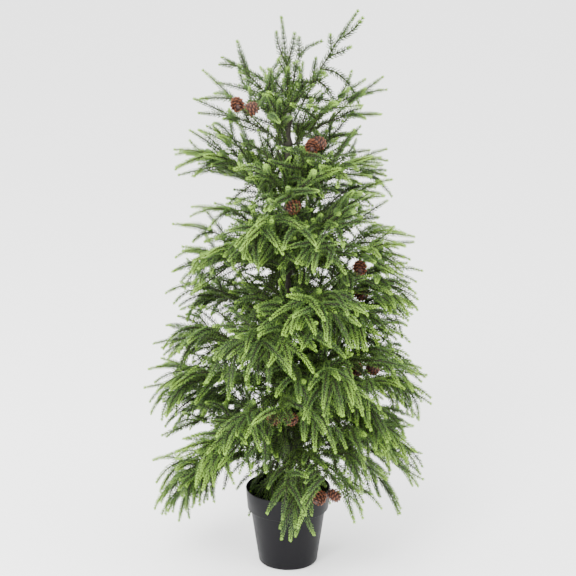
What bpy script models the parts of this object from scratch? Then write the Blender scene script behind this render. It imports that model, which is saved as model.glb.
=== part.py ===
"""Artificial tabletop tree: a potted pine of wire branches with moulded foliage and small cones.

Metres, +Z up. The origin is the centre of the pot's foot, on the table. The tree's front faces -Y.
A branch leaves the trunk at its root, which is also the place where its wire bends.
"""

import math
import random

import bmesh
import bpy
from mathutils import Matrix, Vector

# ---- Driving dimensions ------------------------------------------------------------------------

GAP = 0.0003  # clearance between two pieces that touch

POT_HEIGHT = 0.129
POT_WALL = 0.002
POT_FLOOR = 0.003
POT_BASE_RADIUS = 0.048
POT_BODY_TOP_RADIUS = 0.0610  # just under the rim band
POT_FOOT_ROUND = 0.005
RIM_BAND_HEIGHT = 0.035
RIM_TOP_RADIUS = 0.0687
RIM_FOOT_RADIUS = 0.0660
RIM_LIP_ROUND = 0.0009
DRAIN_HOLE_RADIUS = 0.004
DRAIN_HOLE_CIRCLE = 0.030
DRAIN_HOLES = 5

BALLAST_DEPTH = 0.082  # from the pot's floor to the top of the cement
BALLAST_EDGE_ROUND = 0.003
BALLAST_UNDER_POLE = 0.012

POLE_RADIUS = 0.003
POLE_TOP = 0.748

WRAP_WALL = 0.0014
WRAP_START = 0.012  # above the cement
WRAP_END_BARE = 0.004  # pole left bare at the top
KNOB_RADIUS = 0.008
KNOB_HEIGHT = 0.022

STEM_RADIUS = 0.0016
ROOT_BALL_RADIUS = 0.0023
FOLIAGE_AXIS_RADIUS = 0.0030
FOLIAGE_TWIG_RADIUS = 0.0027
FOLIAGE_TIP_RADIUS = 0.0014
INWARD_TURN = math.radians(38)  # of a twig's rising finger, towards the branch's own heading
OUTWARD_TURN = math.radians(34)  # of its hanging finger, away from it
FINGER_RISE = 0.034
FINGER_DROP = -0.036
END_OPENING = 0.62  # radians between the branch's end and the fingers on both sides of it
END_DROP = -0.028
FORK_LENGTH = 0.006  # the short piece of a twig that others leave
LEADER_FORKS = 4
SECTOR_CLEARANCE = 0.006  # a finger's centre line to the edge of its branch's sector
LAYER_CLEARANCE = 0.008  # the same to the middle between two whorls' layers

CONE_RADIUS = 0.0105
CONE_LENGTH = 0.023
CONE_SCALE_DEPTH = 0.0016
CONE_RINGS = 4
CONE_LIFT = 0.021  # cone's centre off the branch, square to it
CONE_PAIR_STEP = 0.025
CONE_SKEW = math.radians(24)  # the cones of a pair part by twice this
CONE_PITCH = math.radians(105)  # a cone's tip points outward, a little below level
PICK_RADIUS = 0.0011

ROUND_SEGMENTS = 32
SMALL_SEGMENTS = 8

# One row a whorl, lowest first: height of its knob, number of branches, heading of the first one,
# reach of its foliage, how far along that reach the bare stem runs, the slope of the branch at its
# root and at its end, in degrees above level, the places where side twigs leave it, and the length
# of its soft fingers.
WHORLS = (
    dict(height=0.185, count=4, heading=24, reach=0.234, bare=0.34,
         rise=20, droop=-40, forks=3, finger=0.058),
    dict(height=0.288, count=4, heading=86, reach=0.228, bare=0.34,
         rise=26, droop=-24, forks=3, finger=0.058),
    dict(height=0.391, count=3, heading=15, reach=0.212, bare=0.34,
         rise=30, droop=-12, forks=3, finger=0.056),
    dict(height=0.494, count=3, heading=95, reach=0.192, bare=0.34,
         rise=34, droop=-8, forks=2, finger=0.056),
    dict(height=0.597, count=3, heading=35, reach=0.170, bare=0.30,
         rise=40, droop=4, forks=2, finger=0.052),
    dict(height=0.700, count=3, heading=95, reach=0.150, bare=0.27,
         rise=44, droop=6, forks=2, finger=0.048),
)

# The leaders at the crown: height and heading of the root, reach, bare share and slopes.
LEADERS = (
    dict(name="right", height=0.738, heading=-4, reach=0.108, bare=0.28, rise=66, droop=55),
    dict(name="left", height=0.738, heading=176, reach=0.100, bare=0.30, rise=66, droop=28),
)
LEADER_FINGER = 0.040
CENTRE_LEADER_HEIGHT = 0.150
CENTRE_LEADER_LEAN = 0.010
CENTRE_LEADER_HEADING = math.radians(20)  # of the lowest finger of the centre leader
CENTRE_LEADER_SPIRAL = math.radians(150)  # from each pair of its fingers to the next
SPROUT_OUT = 0.80  # a leader's finger starts mostly outward and ends mostly ahead
SPROUT_AHEAD = 0.42

# Cones: the whorl and heading that carry each pick, how far out it stands, how many cones it
# holds, whether they stand on the branch or hang under it, and whether a pair lies across it.
CONE_PICKS = (
    dict(whorl=5, branch=1, out=0.088, cones=2, side=1, crossed=False),
    dict(whorl=5, branch=2, out=0.034, cones=2, side=-1, crossed=True),
    dict(whorl=4, branch=2, out=0.090, cones=1, side=-1, crossed=False),
    dict(whorl=3, branch=2, out=0.120, cones=1, side=-1, crossed=False),
    dict(whorl=2, branch=0, out=0.122, cones=1, side=1, crossed=False),
    dict(whorl=1, branch=3, out=0.122, cones=2, side=1, crossed=False),
    dict(whorl=1, branch=2, out=0.124, cones=2, side=-1, crossed=True),
    dict(whorl=0, branch=3, out=0.156, cones=2, side=-1, crossed=True),
)

# ---- Values worked out from them -----------------------------------------------------------------

BALLAST_BOTTOM = POT_FLOOR + GAP
BALLAST_TOP = BALLAST_BOTTOM + BALLAST_DEPTH
BORE_RADIUS = POLE_RADIUS + GAP
POLE_FOOT = BALLAST_BOTTOM + BALLAST_UNDER_POLE
WRAP_INNER = POLE_RADIUS + GAP
WRAP_OUTER = WRAP_INNER + WRAP_WALL
ROOT_RADIUS = KNOB_RADIUS + GAP + ROOT_BALL_RADIUS  # centre of a root ball, from the trunk's axis
WHORL_PITCH = min(b["height"] - a["height"] for a, b in zip(WHORLS, WHORLS[1:]))
LIFT_LIMIT = WHORL_PITCH / 2 - LAYER_CLEARANCE


# ---- Helpers -----------------------------------------------------------------------------------


def clear_scene():
    for item in list(bpy.data.objects):
        bpy.data.objects.remove(item, do_unlink=True)


def new_collection(name):
    made = bpy.data.collections.new(name)
    bpy.context.scene.collection.children.link(made)
    return made


def principled(name, colour, roughness, metallic=0.0):
    """A material with one Principled shader; colour is linear RGB."""
    made = bpy.data.materials.new(name)
    made.use_nodes = True
    shader = made.node_tree.nodes["Principled BSDF"]
    shader.inputs["Base Color"].default_value = (*colour, 1.0)
    shader.inputs["Roughness"].default_value = roughness
    shader.inputs["Metallic"].default_value = metallic
    made.diffuse_color = (*colour, 1.0)
    return made


def add_object(name, data, material, parent=None):
    made = bpy.data.objects.new(name, data)
    data.materials.append(material)
    tree.objects.link(made)
    if parent is not None:
        made.parent = parent
        made.matrix_parent_inverse = parent.matrix_basis.inverted()
    return made


def arc(centre_r, centre_z, radius, start, stop, steps=4):
    """Points of a round corner in the (r, z) plane, angles in degrees."""
    angles = [math.radians(start + (stop - start) * i / steps) for i in range(steps + 1)]
    return [(centre_r + radius * math.cos(a), centre_z + radius * math.sin(a)) for a in angles]


def turned(name, profile, material, closed=False, segments=ROUND_SEGMENTS):
    """A turned piece: an (r, z) profile that runs down its outer side, spun about Z."""
    mesh = bpy.data.meshes.new(name)
    points = [(r, 0.0, z) for r, z in profile]
    edges = [(i, i + 1) for i in range(len(points) - 1)]
    if closed:
        edges.append((len(points) - 1, 0))
    mesh.from_pydata(points, edges, [])
    made = add_object(name, mesh, material)
    spin = made.modifiers.new("Turn", "SCREW")
    spin.angle = math.tau
    spin.steps = segments
    spin.render_steps = segments
    spin.use_merge_vertices = True
    spin.merge_threshold = 0.00002
    spin.use_smooth_shade = True
    return made


def tube(name, points, radii, material, parent=None, resolution=1):
    """A wire or rod: a curve through the points, with its own radius at each."""
    curve = bpy.data.curves.new(name, "CURVE")
    curve.dimensions = "3D"
    curve.bevel_depth = 1.0
    curve.bevel_resolution = resolution
    curve.use_fill_caps = True
    spline = curve.splines.new("POLY")
    spline.points.add(len(points) - 1)
    for knot, point, radius in zip(spline.points, points, radii):
        knot.co = (*point, 1.0)
        knot.radius = radius
    return add_object(name, curve, material, parent)


def hinge_empty(name, location):
    """The point about which a branch's wire bends; its pieces hang from it."""
    made = bpy.data.objects.new(name, None)
    made.empty_display_size = 0.01
    made.location = location
    tree.objects.link(made)
    return made


# ---- The line that a branch follows ----------------------------------------------------------------


class BranchLine:
    """A branch's arched centre line in its own upright plane: a stretch of a circle.

    Foliage beside it lies on the arch turned about the trunk or, on a leader, on the arch itself.
    """

    def __init__(self, height, heading, reach, rise, droop, turned_layer=True):
        self.turned_layer = turned_layer
        self.height = height
        self.heading = math.radians(heading)
        self.reach = reach
        self.rise = math.radians(rise)
        self.turn = math.radians(droop - rise)
        span = math.sin(self.rise + self.turn) - math.sin(self.rise)
        self.bend = (reach - ROOT_RADIUS) / span  # signed radius of the arch

    def level(self, out):
        """Height of the arch above the table at a distance out from the trunk."""
        sine = math.sin(self.rise) + (out - ROOT_RADIUS) / self.bend
        slope = math.asin(max(-0.999, min(0.999, sine)))
        return self.height + self.bend * (math.cos(self.rise) - math.cos(slope))

    def place(self, out, across=0.0, lift=0.0):
        """A point of the tree: out along the heading, across it, and lifted off the arch."""
        level = self.level(math.hypot(out, across) if self.turned_layer else out) + lift
        cos, sin = math.cos(self.heading), math.sin(self.heading)
        return Vector((out * cos - across * sin, out * sin + across * cos, level))

    def ahead(self, out):
        """The arch's direction at a distance out from the trunk."""
        step = 0.001
        return (self.place(out + step) - self.place(out - step)).normalized()

    def sideways(self):
        return Vector((-math.sin(self.heading), math.cos(self.heading), 0.0))

    def off(self, out, distance):
        """A point square to the arch, on its upper side, in the branch's upright plane."""
        return self.place(out) + self.ahead(out).cross(self.sideways()) * distance


def stem_points(line, bare_end):
    """Centre line and radii of a wrapped stem, with its round root ball."""
    ball = ROOT_BALL_RADIUS
    start = line.place(ROOT_RADIUS)
    ahead = line.ahead(ROOT_RADIUS)
    points, radii = [], []
    for share in (-0.96, -0.6, 0.0, 0.5):
        points.append(start + ahead * ball * share)
        radii.append(ball * math.sqrt(1 - share * share))
    runs = 4
    first = ROOT_RADIUS + ball * 1.6
    for i in range(runs + 1):
        points.append(line.place(first + (bare_end - first) * i / runs))
        radii.append(STEM_RADIUS)
    return points, radii


# ---- Foliage -----------------------------------------------------------------------------------


class Moulding:
    """A soft branching solid, grown from a small box by extruding its faces one after another."""

    def __init__(self, start, ahead, up, thick):
        self.shape = bmesh.new()
        bmesh.ops.create_cube(self.shape, size=2 * thick)
        side = up.cross(ahead).normalized()
        turn = Matrix((ahead, side, ahead.cross(side))).transposed().to_4x4()
        bmesh.ops.transform(
            self.shape,
            matrix=Matrix.Translation(start + ahead * thick) @ turn,
            verts=self.shape.verts,
        )
        self.shape.normal_update()
        self.end = max(self.shape.faces, key=lambda face: face.normal.dot(ahead))

    def extend(self, face, point, thick):
        """Extrudes a face to a point, where it is square to its way there; gives it and its walls."""
        face.normal_update()
        centre = face.calc_center_median()
        across = (face.verts[1].co - face.verts[0].co).normalized()
        over = face.normal.cross(across)
        swing = face.normal.rotation_difference((point - centre).normalized())
        end = bmesh.ops.extrude_discrete_faces(self.shape, faces=[face])["faces"][0]
        for vert in end.verts:
            offset = vert.co - centre
            corner = across * math.copysign(thick, offset.dot(across))
            corner += over * math.copysign(thick, offset.dot(over))
            vert.co = point + swing @ corner
        walls = [wall for edge in end.edges for wall in edge.link_faces if wall is not end]
        for wall in (end, *walls):
            wall.normal_update()
        return end, walls

    def wall_towards(self, walls, direction):
        free = [wall for wall in walls if wall.is_valid]
        return max(free, key=lambda wall: wall.normal.dot(direction))

    def finished(self, name, material, parent):
        bmesh.ops.recalc_face_normals(self.shape, faces=self.shape.faces)
        mesh = bpy.data.meshes.new(name)
        self.shape.to_mesh(mesh)
        self.shape.free()
        mesh.shade_smooth()
        return add_object(name, mesh, material, parent)


class Spray:
    """One branch's foliage, grown in the branch's own frame: out, across and lift off its arch."""

    def __init__(self, line, half_sector, first, finger_length, rng):
        self.line = line
        self.finger_length = finger_length
        self.half_sector = half_sector
        self.rng = rng
        start = line.place(first)
        self.moulding = Moulding(start, line.ahead(first), Vector((0, 0, 1)), FOLIAGE_AXIS_RADIUS)

    def at(self, frame):
        """The world's point for a frame, moved if need be to stay in the sector and the layer."""
        out, across, lift = frame
        edge = (out * math.sin(self.half_sector) - SECTOR_CLEARANCE) / math.cos(self.half_sector)
        across = max(-edge, min(edge, across))
        return self.line.place(out, across, max(-LIFT_LIMIT, min(LIFT_LIMIT, lift)))

    def fork(self, face, frame, turn, thick):
        """Extends to a frame and a little past it; gives the end and the walls of the short piece."""
        out, across, lift = frame
        step = FORK_LENGTH / 2
        side, ahead = step * math.sin(turn), step * math.cos(turn)
        face, _ = self.moulding.extend(face, self.at((out - ahead, across - side, lift)), thick)
        return self.moulding.extend(face, self.at((out + ahead, across + side, lift)), thick)

    def finger(self, walls, frame, turn, length, lift):
        """A soft finger that leaves the wall nearest its way and bends once before its tip."""
        out, across, level = frame
        flat = math.sqrt(length * length - lift * lift)
        bend = (out + 0.5 * flat * math.cos(turn), across + 0.5 * flat * math.sin(turn))
        tip = (out + flat * math.cos(turn), across + flat * math.sin(turn), level + lift)
        bend = self.at((*bend, level + 0.62 * lift))
        wall = self.moulding.wall_towards(walls, bend - self.at(frame))
        end, _ = self.moulding.extend(wall, bend, FOLIAGE_TWIG_RADIUS)
        self.moulding.extend(end, self.at(tip), FOLIAGE_TIP_RADIUS)


def grow_spray(line, half_sector, bare_end, whorl, rng):
    """Foliage of one branch: an axis, side twigs left and right, and soft fingers on each."""
    spray = Spray(line, half_sector, bare_end + GAP, whorl["finger"], rng)
    forks = whorl["forks"]
    axis_end = line.reach - whorl["finger"]
    span = axis_end - bare_end
    face = spray.moulding.end
    for fork in range(forks):
        out = bare_end + span * (fork + 0.45) / forks
        face, walls = spray.fork(face, (out, 0.0, 0.0), 0.0, FOLIAGE_AXIS_RADIUS)
        opening = half_sector * (0.92 - 0.24 * fork / forks)
        for side in (1, -1):
            grow_side_twig(spray, walls, out, side * opening * rng.uniform(0.95, 1.03))
    face, walls = spray.fork(face, (axis_end, 0.0, 0.0), 0.0, FOLIAGE_TWIG_RADIUS)
    for side in (1, -1):
        spray.finger(walls, (axis_end, 0.0, 0.0), side * END_OPENING, whorl["finger"], END_DROP)
    spray.moulding.extend(face, spray.at((line.reach, 0.0, 0.0)), FOLIAGE_TIP_RADIUS)
    return spray.moulding


def grow_side_twig(spray, walls, out, turn):
    """A side twig that ends in a finger, with one finger rising forward and one hanging outward."""
    thick = FOLIAGE_TWIG_RADIUS
    reach = spray.line.reach
    to_edge = math.sqrt(reach**2 - (out * math.sin(turn)) ** 2) - out * math.cos(turn)
    finger = spray.finger_length * spray.rng.uniform(0.88, 1.0)

    def along(distance, lift):
        return out + distance * math.cos(turn), distance * math.sin(turn), lift

    wood = to_edge - finger
    side = math.copysign(1.0, turn)
    wall = spray.moulding.wall_towards(walls, spray.at(along(wood, 0.0)) - spray.at(along(0.0, 0.0)))
    middle, end = along(wood * 0.55, 0.003), along(wood, -0.002)
    face, sides = spray.fork(wall, middle, turn, thick)
    spray.finger(sides, middle, turn - side * INWARD_TURN, finger, FINGER_RISE)
    face, sides = spray.fork(face, end, turn, thick)
    spray.finger(sides, end, turn + side * OUTWARD_TURN, finger * 0.9, FINGER_DROP)
    spray.moulding.extend(face, spray.at(along(to_edge, 0.004)), FOLIAGE_TIP_RADIUS)


def sprout(moulding, walls, start, ahead, outward, length):
    """A leader's finger: it leaves the wall nearest to outward and curves on ahead."""
    bend = start + (outward * SPROUT_OUT + ahead * SPROUT_AHEAD) * length / 2
    end, _ = moulding.extend(moulding.wall_towards(walls, outward), bend, FOLIAGE_TWIG_RADIUS)
    tip = bend + (outward * SPROUT_AHEAD + ahead * SPROUT_OUT) * length / 2
    moulding.extend(end, tip, FOLIAGE_TIP_RADIUS)


def grow_leader(line, bare_end, rng):
    """Foliage of a steep leader: one long axis with crossed pairs of fingers."""
    first = bare_end + GAP
    moulding = Moulding(line.place(first), line.ahead(first), Vector((0, 0, 1)), FOLIAGE_AXIS_RADIUS)
    face = moulding.end
    for fork in range(LEADER_FORKS):
        out = bare_end + (line.reach - bare_end) * (fork + 0.8) / (LEADER_FORKS + 1)
        middle, ahead = line.place(out), line.ahead(out)
        upward = ahead.cross(line.sideways())
        face, _ = moulding.extend(face, middle - ahead * FORK_LENGTH / 2, FOLIAGE_AXIS_RADIUS)
        face, walls = moulding.extend(face, middle + ahead * FORK_LENGTH / 2, FOLIAGE_AXIS_RADIUS)
        for outward in (upward, line.sideways(), -upward, -line.sideways()):
            length = LEADER_FINGER * rng.uniform(0.8, 1.0)
            sprout(moulding, walls, middle, ahead, outward, length)
    moulding.extend(face, line.place(line.reach), FOLIAGE_TIP_RADIUS)
    return moulding


def grow_centre_leader(rng):
    """Foliage that tops the pole: upright, with pairs of fingers spiralling round it."""
    foot = Vector((0, 0, POLE_TOP + GAP))
    up = Vector((0, 0, 1))
    moulding = Moulding(foot, up, Vector((0, 1, 0)), FOLIAGE_AXIS_RADIUS)
    face = moulding.end
    for fork in range(LEADER_FORKS):
        share = (fork + 1) / (LEADER_FORKS + 1)
        middle = foot + Vector((-CENTRE_LEADER_LEAN * share**2, 0, CENTRE_LEADER_HEIGHT * share))
        face, _ = moulding.extend(face, middle - up * FORK_LENGTH / 2, FOLIAGE_AXIS_RADIUS)
        face, walls = moulding.extend(face, middle + up * FORK_LENGTH / 2, FOLIAGE_AXIS_RADIUS)
        heading = CENTRE_LEADER_HEADING + CENTRE_LEADER_SPIRAL * fork
        for turn in (heading, heading + math.pi):
            outward = Vector((math.cos(turn), math.sin(turn), 0))
            length = LEADER_FINGER * rng.uniform(0.9, 1.1)
            sprout(moulding, walls, middle, up, outward, length)
    top = foot + Vector((-CENTRE_LEADER_LEAN, 0, CENTRE_LEADER_HEIGHT))
    moulding.extend(face, top, FOLIAGE_TIP_RADIUS)
    return moulding


# ---- The sub-parts -----------------------------------------------------------------------------


def body_radius(height):
    """Outer radius of the pot's tapered body at a height."""
    top = POT_HEIGHT - RIM_BAND_HEIGHT
    return POT_BASE_RADIUS + (POT_BODY_TOP_RADIUS - POT_BASE_RADIUS) * height / top


def inner_radius(height):
    """Inner radius of the pot's tapered body at a height."""
    return body_radius(height) - POT_WALL


def make_pot():
    band_foot = POT_HEIGHT - RIM_BAND_HEIGHT
    lip = RIM_LIP_ROUND
    inner_lip = RIM_TOP_RADIUS - POT_WALL
    inner_shoulder = RIM_FOOT_RADIUS - POT_WALL
    heel = POT_FLOOR + POT_WALL
    profile = [(0.0, POT_FLOOR), (inner_radius(heel) - POT_WALL, POT_FLOOR)]
    profile += [(inner_radius(heel), heel), (inner_radius(band_foot), band_foot)]
    profile += [(inner_shoulder, band_foot + POT_WALL)]
    profile += arc(inner_lip + lip, POT_HEIGHT - lip, lip, 180, 90, 2)
    profile += arc(RIM_TOP_RADIUS - lip, POT_HEIGHT - lip, lip, 90, 0, 2)
    profile += [(RIM_FOOT_RADIUS, band_foot + lip), (RIM_FOOT_RADIUS - lip, band_foot)]
    profile += [(POT_BODY_TOP_RADIUS, band_foot)]
    profile += arc(POT_BASE_RADIUS - POT_FOOT_ROUND, POT_FOOT_ROUND, POT_FOOT_ROUND, 0, -90, 4)
    profile += [(0.0, 0.0)]
    pot = turned("pot", profile, MATERIALS["pot"])
    drill = pot.modifiers.new("Drain holes", "BOOLEAN")
    drill.operation = "DIFFERENCE"
    drill.object = drain_cutter()
    return pot


def drain_cutter():
    """The pins that leave the drain holes, off centre, under the cement."""
    shape = bmesh.new()
    for i in range(DRAIN_HOLES):
        turn = math.tau * i / DRAIN_HOLES
        at = Vector((math.cos(turn), math.sin(turn), 0)) * DRAIN_HOLE_CIRCLE
        at.z = POT_FLOOR / 2
        bmesh.ops.create_cone(
            shape,
            cap_ends=True,
            segments=SMALL_SEGMENTS,
            radius1=DRAIN_HOLE_RADIUS,
            radius2=DRAIN_HOLE_RADIUS,
            depth=POT_FLOOR * 3,
            matrix=Matrix.Translation(at),
        )
    mesh = bpy.data.meshes.new("drain_cutter")
    shape.to_mesh(mesh)
    shape.free()
    cutter = bpy.data.objects.new("drain_cutter", mesh)
    cutters.objects.link(cutter)
    cutter.hide_render = True
    cutter.display_type = "WIRE"
    return cutter


def make_ballast():
    heel = BALLAST_BOTTOM + POT_WALL
    heel_radius = inner_radius(heel) - GAP
    round_height = BALLAST_TOP - BALLAST_EDGE_ROUND
    top_radius = inner_radius(round_height) - GAP - BALLAST_EDGE_ROUND
    profile = [(0.0, POLE_FOOT - GAP), (BORE_RADIUS, POLE_FOOT - GAP)]
    profile += [(BORE_RADIUS, BALLAST_TOP)]
    profile += arc(top_radius, round_height, BALLAST_EDGE_ROUND, 90, 0, 3)
    profile += [(heel_radius, heel), (heel_radius - 2 * POT_WALL, BALLAST_BOTTOM)]
    profile += [(0.0, BALLAST_BOTTOM)]
    return turned("cement_ballast", profile, MATERIALS["cement"])


def make_pole():
    profile = [(0.0, POLE_TOP), (POLE_RADIUS * 0.8, POLE_TOP)]
    profile += [(POLE_RADIUS, POLE_TOP - POLE_RADIUS * 0.2), (POLE_RADIUS, POLE_FOOT)]
    profile += [(0.0, POLE_FOOT)]
    return turned("trunk_pole", profile, MATERIALS["pole"], segments=16)


def make_wrap():
    """Tape wound round the pole, swelling to a knob where each whorl's wires are bound on."""
    heights = sorted({whorl["height"] for whorl in WHORLS} | {one["height"] for one in LEADERS})
    top, foot = POLE_TOP - WRAP_END_BARE, BALLAST_TOP + WRAP_START
    outer = [(WRAP_OUTER, top)]
    for height in reversed(heights):
        half = KNOB_HEIGHT / 2
        upper = min(height + half, top - 0.001)
        outer += [(WRAP_OUTER, upper), (KNOB_RADIUS, height), (WRAP_OUTER, height - half)]
    outer += [(WRAP_OUTER, foot)]
    profile = outer + [(WRAP_INNER, foot), (WRAP_INNER, top)]
    return turned("trunk_tape_wrap", profile, MATERIALS["tape"], closed=True, segments=12)


def make_branch(whorl_number, number, whorl):
    half_sector = math.pi / whorl["count"]
    rng = random.Random(100 * whorl_number + number)
    heading = whorl["heading"] + 360 * number / whorl["count"]
    reach = whorl["reach"] * rng.uniform(0.97, 1.0)
    line = BranchLine(whorl["height"], heading, reach, whorl["rise"], whorl["droop"])
    bare_end = ROOT_RADIUS + (reach - ROOT_RADIUS) * whorl["bare"]
    root = hinge_empty(f"branch_{whorl_number + 1}{number + 1}_root", line.place(ROOT_RADIUS))
    name = f"branch_{whorl_number + 1}{number + 1}"
    points, radii = stem_points(line, bare_end)
    tube(f"{name}_stem", points, radii, MATERIALS["stem"], root)
    foliage = grow_spray(line, half_sector, bare_end, whorl, rng)
    foliage.finished(f"{name}_foliage", MATERIALS["foliage"], root)
    return line, root


def make_leader(leader):
    rng = random.Random(leader["name"])
    shape = [leader[key] for key in ("height", "heading", "reach", "rise", "droop")]
    line = BranchLine(*shape, turned_layer=False)
    bare_end = ROOT_RADIUS + (leader["reach"] - ROOT_RADIUS) * leader["bare"]
    root = hinge_empty(f"leader_{leader['name']}_root", line.place(ROOT_RADIUS))
    points, radii = stem_points(line, bare_end)
    tube(f"leader_{leader['name']}_stem", points, radii, MATERIALS["stem"], root)
    foliage = grow_leader(line, bare_end, rng)
    foliage.finished(f"leader_{leader['name']}_foliage", MATERIALS["foliage"], root)


def make_centre_leader():
    root = hinge_empty("leader_centre_root", (0, 0, POLE_TOP + GAP))
    foliage = grow_centre_leader(random.Random("centre"))
    foliage.finished("leader_centre_foliage", MATERIALS["foliage"], root)


def cone_profile():
    """Outline of one cone, tip first, stepped where its scales overlap."""
    rows = CONE_RINGS
    outline = [(0.0, CONE_LENGTH / 2)]
    for ring in range(rows):
        share = (ring + 0.6) / rows
        fullness = math.sin(math.pi * share**0.75) ** 0.6
        height = CONE_LENGTH * (0.5 - share)
        outline.append((CONE_RADIUS * fullness - CONE_SCALE_DEPTH * 0.6, height + 0.0012))
        outline.append((CONE_RADIUS * fullness, height))
    outline.append((0.0, -CONE_LENGTH / 2))
    return outline


def mesh_of(item):
    """The item's finished mesh, welded, in world space; the item itself is removed."""
    graph = bpy.context.evaluated_depsgraph_get()
    mesh = bpy.data.meshes.new_from_object(item.evaluated_get(graph))
    mesh.transform(item.matrix_world)
    shape = bmesh.new()
    shape.from_mesh(mesh)
    bmesh.ops.remove_doubles(shape, verts=shape.verts, dist=0.00001)
    shape.to_mesh(mesh)
    shape.free()
    bpy.data.objects.remove(item, do_unlink=True)
    return mesh


def joined(name, meshes, material, parent):
    """One solid from meshes that cross, by Boolean unions."""
    whole = add_object(name, meshes[0], material, parent)
    for i, mesh in enumerate(meshes[1:]):
        helper = bpy.data.objects.new(f"{name}_piece_{i}", mesh)
        cutters.objects.link(helper)
        helper.hide_render = True
        helper.display_type = "WIRE"
        union = whole.modifiers.new(f"Join {i}", "BOOLEAN")
        union.operation = "UNION"
        union.object = helper
    return whole


def make_cone_pick(number, pick, line, root):
    """One or two cones on a thin wire that stands on its branch or hangs under it."""
    name = f"cone_pick_{number + 1}"
    lift = pick["side"] * CONE_LIFT
    steps = [CONE_PAIR_STEP * (i - (pick["cones"] - 1) / 2) for i in range(pick["cones"])]
    sideways = Vector((-math.sin(line.heading), math.cos(line.heading), 0.0))
    meshes, centres = [], []
    for i, step in enumerate(steps):
        if pick["crossed"]:
            centre = line.off(pick["out"], lift) + sideways * step
        else:
            centre = line.off(pick["out"] + step, lift)
        skew = Matrix.Rotation(CONE_SKEW if i else -CONE_SKEW, 4, "Z")
        turn = Matrix.Rotation(line.heading, 4, "Z") @ skew @ Matrix.Rotation(CONE_PITCH, 4, "Y")
        cone = turned(f"{name}_blank", cone_profile(), MATERIALS["cone"], segments=SMALL_SEGMENTS)
        cone.matrix_world = Matrix.Translation(centre) @ turn
        centres.append(centre)
        bpy.context.view_layer.update()
        meshes.append(mesh_of(cone))
    foot = line.off(pick["out"], pick["side"] * (FOLIAGE_AXIS_RADIUS * 1.1 + PICK_RADIUS + GAP))
    route = [centres[0], foot, *centres[1:]]
    wire = tube(f"{name}_wire", route, [PICK_RADIUS] * len(route), MATERIALS["cone"])
    bpy.context.view_layer.update()
    meshes.append(mesh_of(wire))
    return joined(name, meshes, MATERIALS["cone"], root)


# ---- Build -------------------------------------------------------------------------------------

clear_scene()
tree = new_collection("artificial_tabletop_tree")
cutters = new_collection("cutters")
MATERIALS = {
    "pot": principled("charcoal plastic", (0.035, 0.034, 0.038), 0.45),
    "cement": principled("cement", (0.23, 0.22, 0.21), 0.9),
    "pole": principled("steel rod", (0.28, 0.28, 0.28), 0.4, 0.9),
    "tape": principled("brown tape", (0.06, 0.045, 0.03), 0.8),
    "stem": principled("wrapped wire", (0.035, 0.05, 0.03), 0.75),
    "foliage": principled("moulded foliage", (0.09, 0.22, 0.05), 0.6),
    "cone": principled("cone", (0.20, 0.07, 0.035), 0.7),
}

make_pot()
make_ballast()
make_pole()
make_wrap()
make_centre_leader()
for each_leader in LEADERS:
    make_leader(each_leader)
branches = {}
for whorl_index, each_whorl in enumerate(WHORLS):
    for branch_index in range(each_whorl["count"]):
        made_branch = make_branch(whorl_index, branch_index, each_whorl)
        branches[whorl_index, branch_index] = made_branch
for pick_index, each_pick in enumerate(CONE_PICKS):
    make_cone_pick(pick_index, each_pick, *branches[each_pick["whorl"], each_pick["branch"]])
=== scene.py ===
# %% [markdown]
# # An artificial tabletop tree, dressed
#
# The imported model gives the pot, the trunk, the bendable stems and one plain solid for the foliage of
# each branch. This lesson keeps the hard pieces, gives them their finishes, and grows the soft ones:
# some two thousand brush-like fingers of moulded needles, and the scaly cones between them.
# Everything is in metres, +Z is up, and the tree's front faces -Y.

import math
import random

import bmesh
import bpy
import numpy as np
from mathutils import Matrix, Vector


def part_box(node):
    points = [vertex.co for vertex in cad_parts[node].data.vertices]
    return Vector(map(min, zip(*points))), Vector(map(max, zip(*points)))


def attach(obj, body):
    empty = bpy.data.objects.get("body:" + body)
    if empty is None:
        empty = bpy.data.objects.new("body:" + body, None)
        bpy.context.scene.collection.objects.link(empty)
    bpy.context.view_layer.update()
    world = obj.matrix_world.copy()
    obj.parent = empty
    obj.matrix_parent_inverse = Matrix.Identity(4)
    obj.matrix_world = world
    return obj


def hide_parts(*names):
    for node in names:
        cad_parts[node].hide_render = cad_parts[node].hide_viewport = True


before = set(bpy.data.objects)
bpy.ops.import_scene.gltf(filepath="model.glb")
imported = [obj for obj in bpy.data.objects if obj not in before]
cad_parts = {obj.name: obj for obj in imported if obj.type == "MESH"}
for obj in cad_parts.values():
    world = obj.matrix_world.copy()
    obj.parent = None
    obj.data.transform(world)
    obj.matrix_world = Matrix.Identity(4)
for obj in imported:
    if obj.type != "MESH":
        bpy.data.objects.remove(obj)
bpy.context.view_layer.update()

# %% [markdown]
# ## The camera
#
# A product shot of a slim upright object is taken from some way off with a long lens, so that the
# sides stay parallel. The camera stands 3.4 m from the trunk, raised by 17 degrees, and its lens is
# worked out from the width that the picture shows at the trunk.

# %% Camera
CAMERA_DISTANCE = 3.4
CAMERA_ELEVATION = math.radians(17)
AIM_HEIGHT = 0.466
WIDTH_SEEN = 0.911
SENSOR_WIDTH = 36.0  # mm

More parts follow.
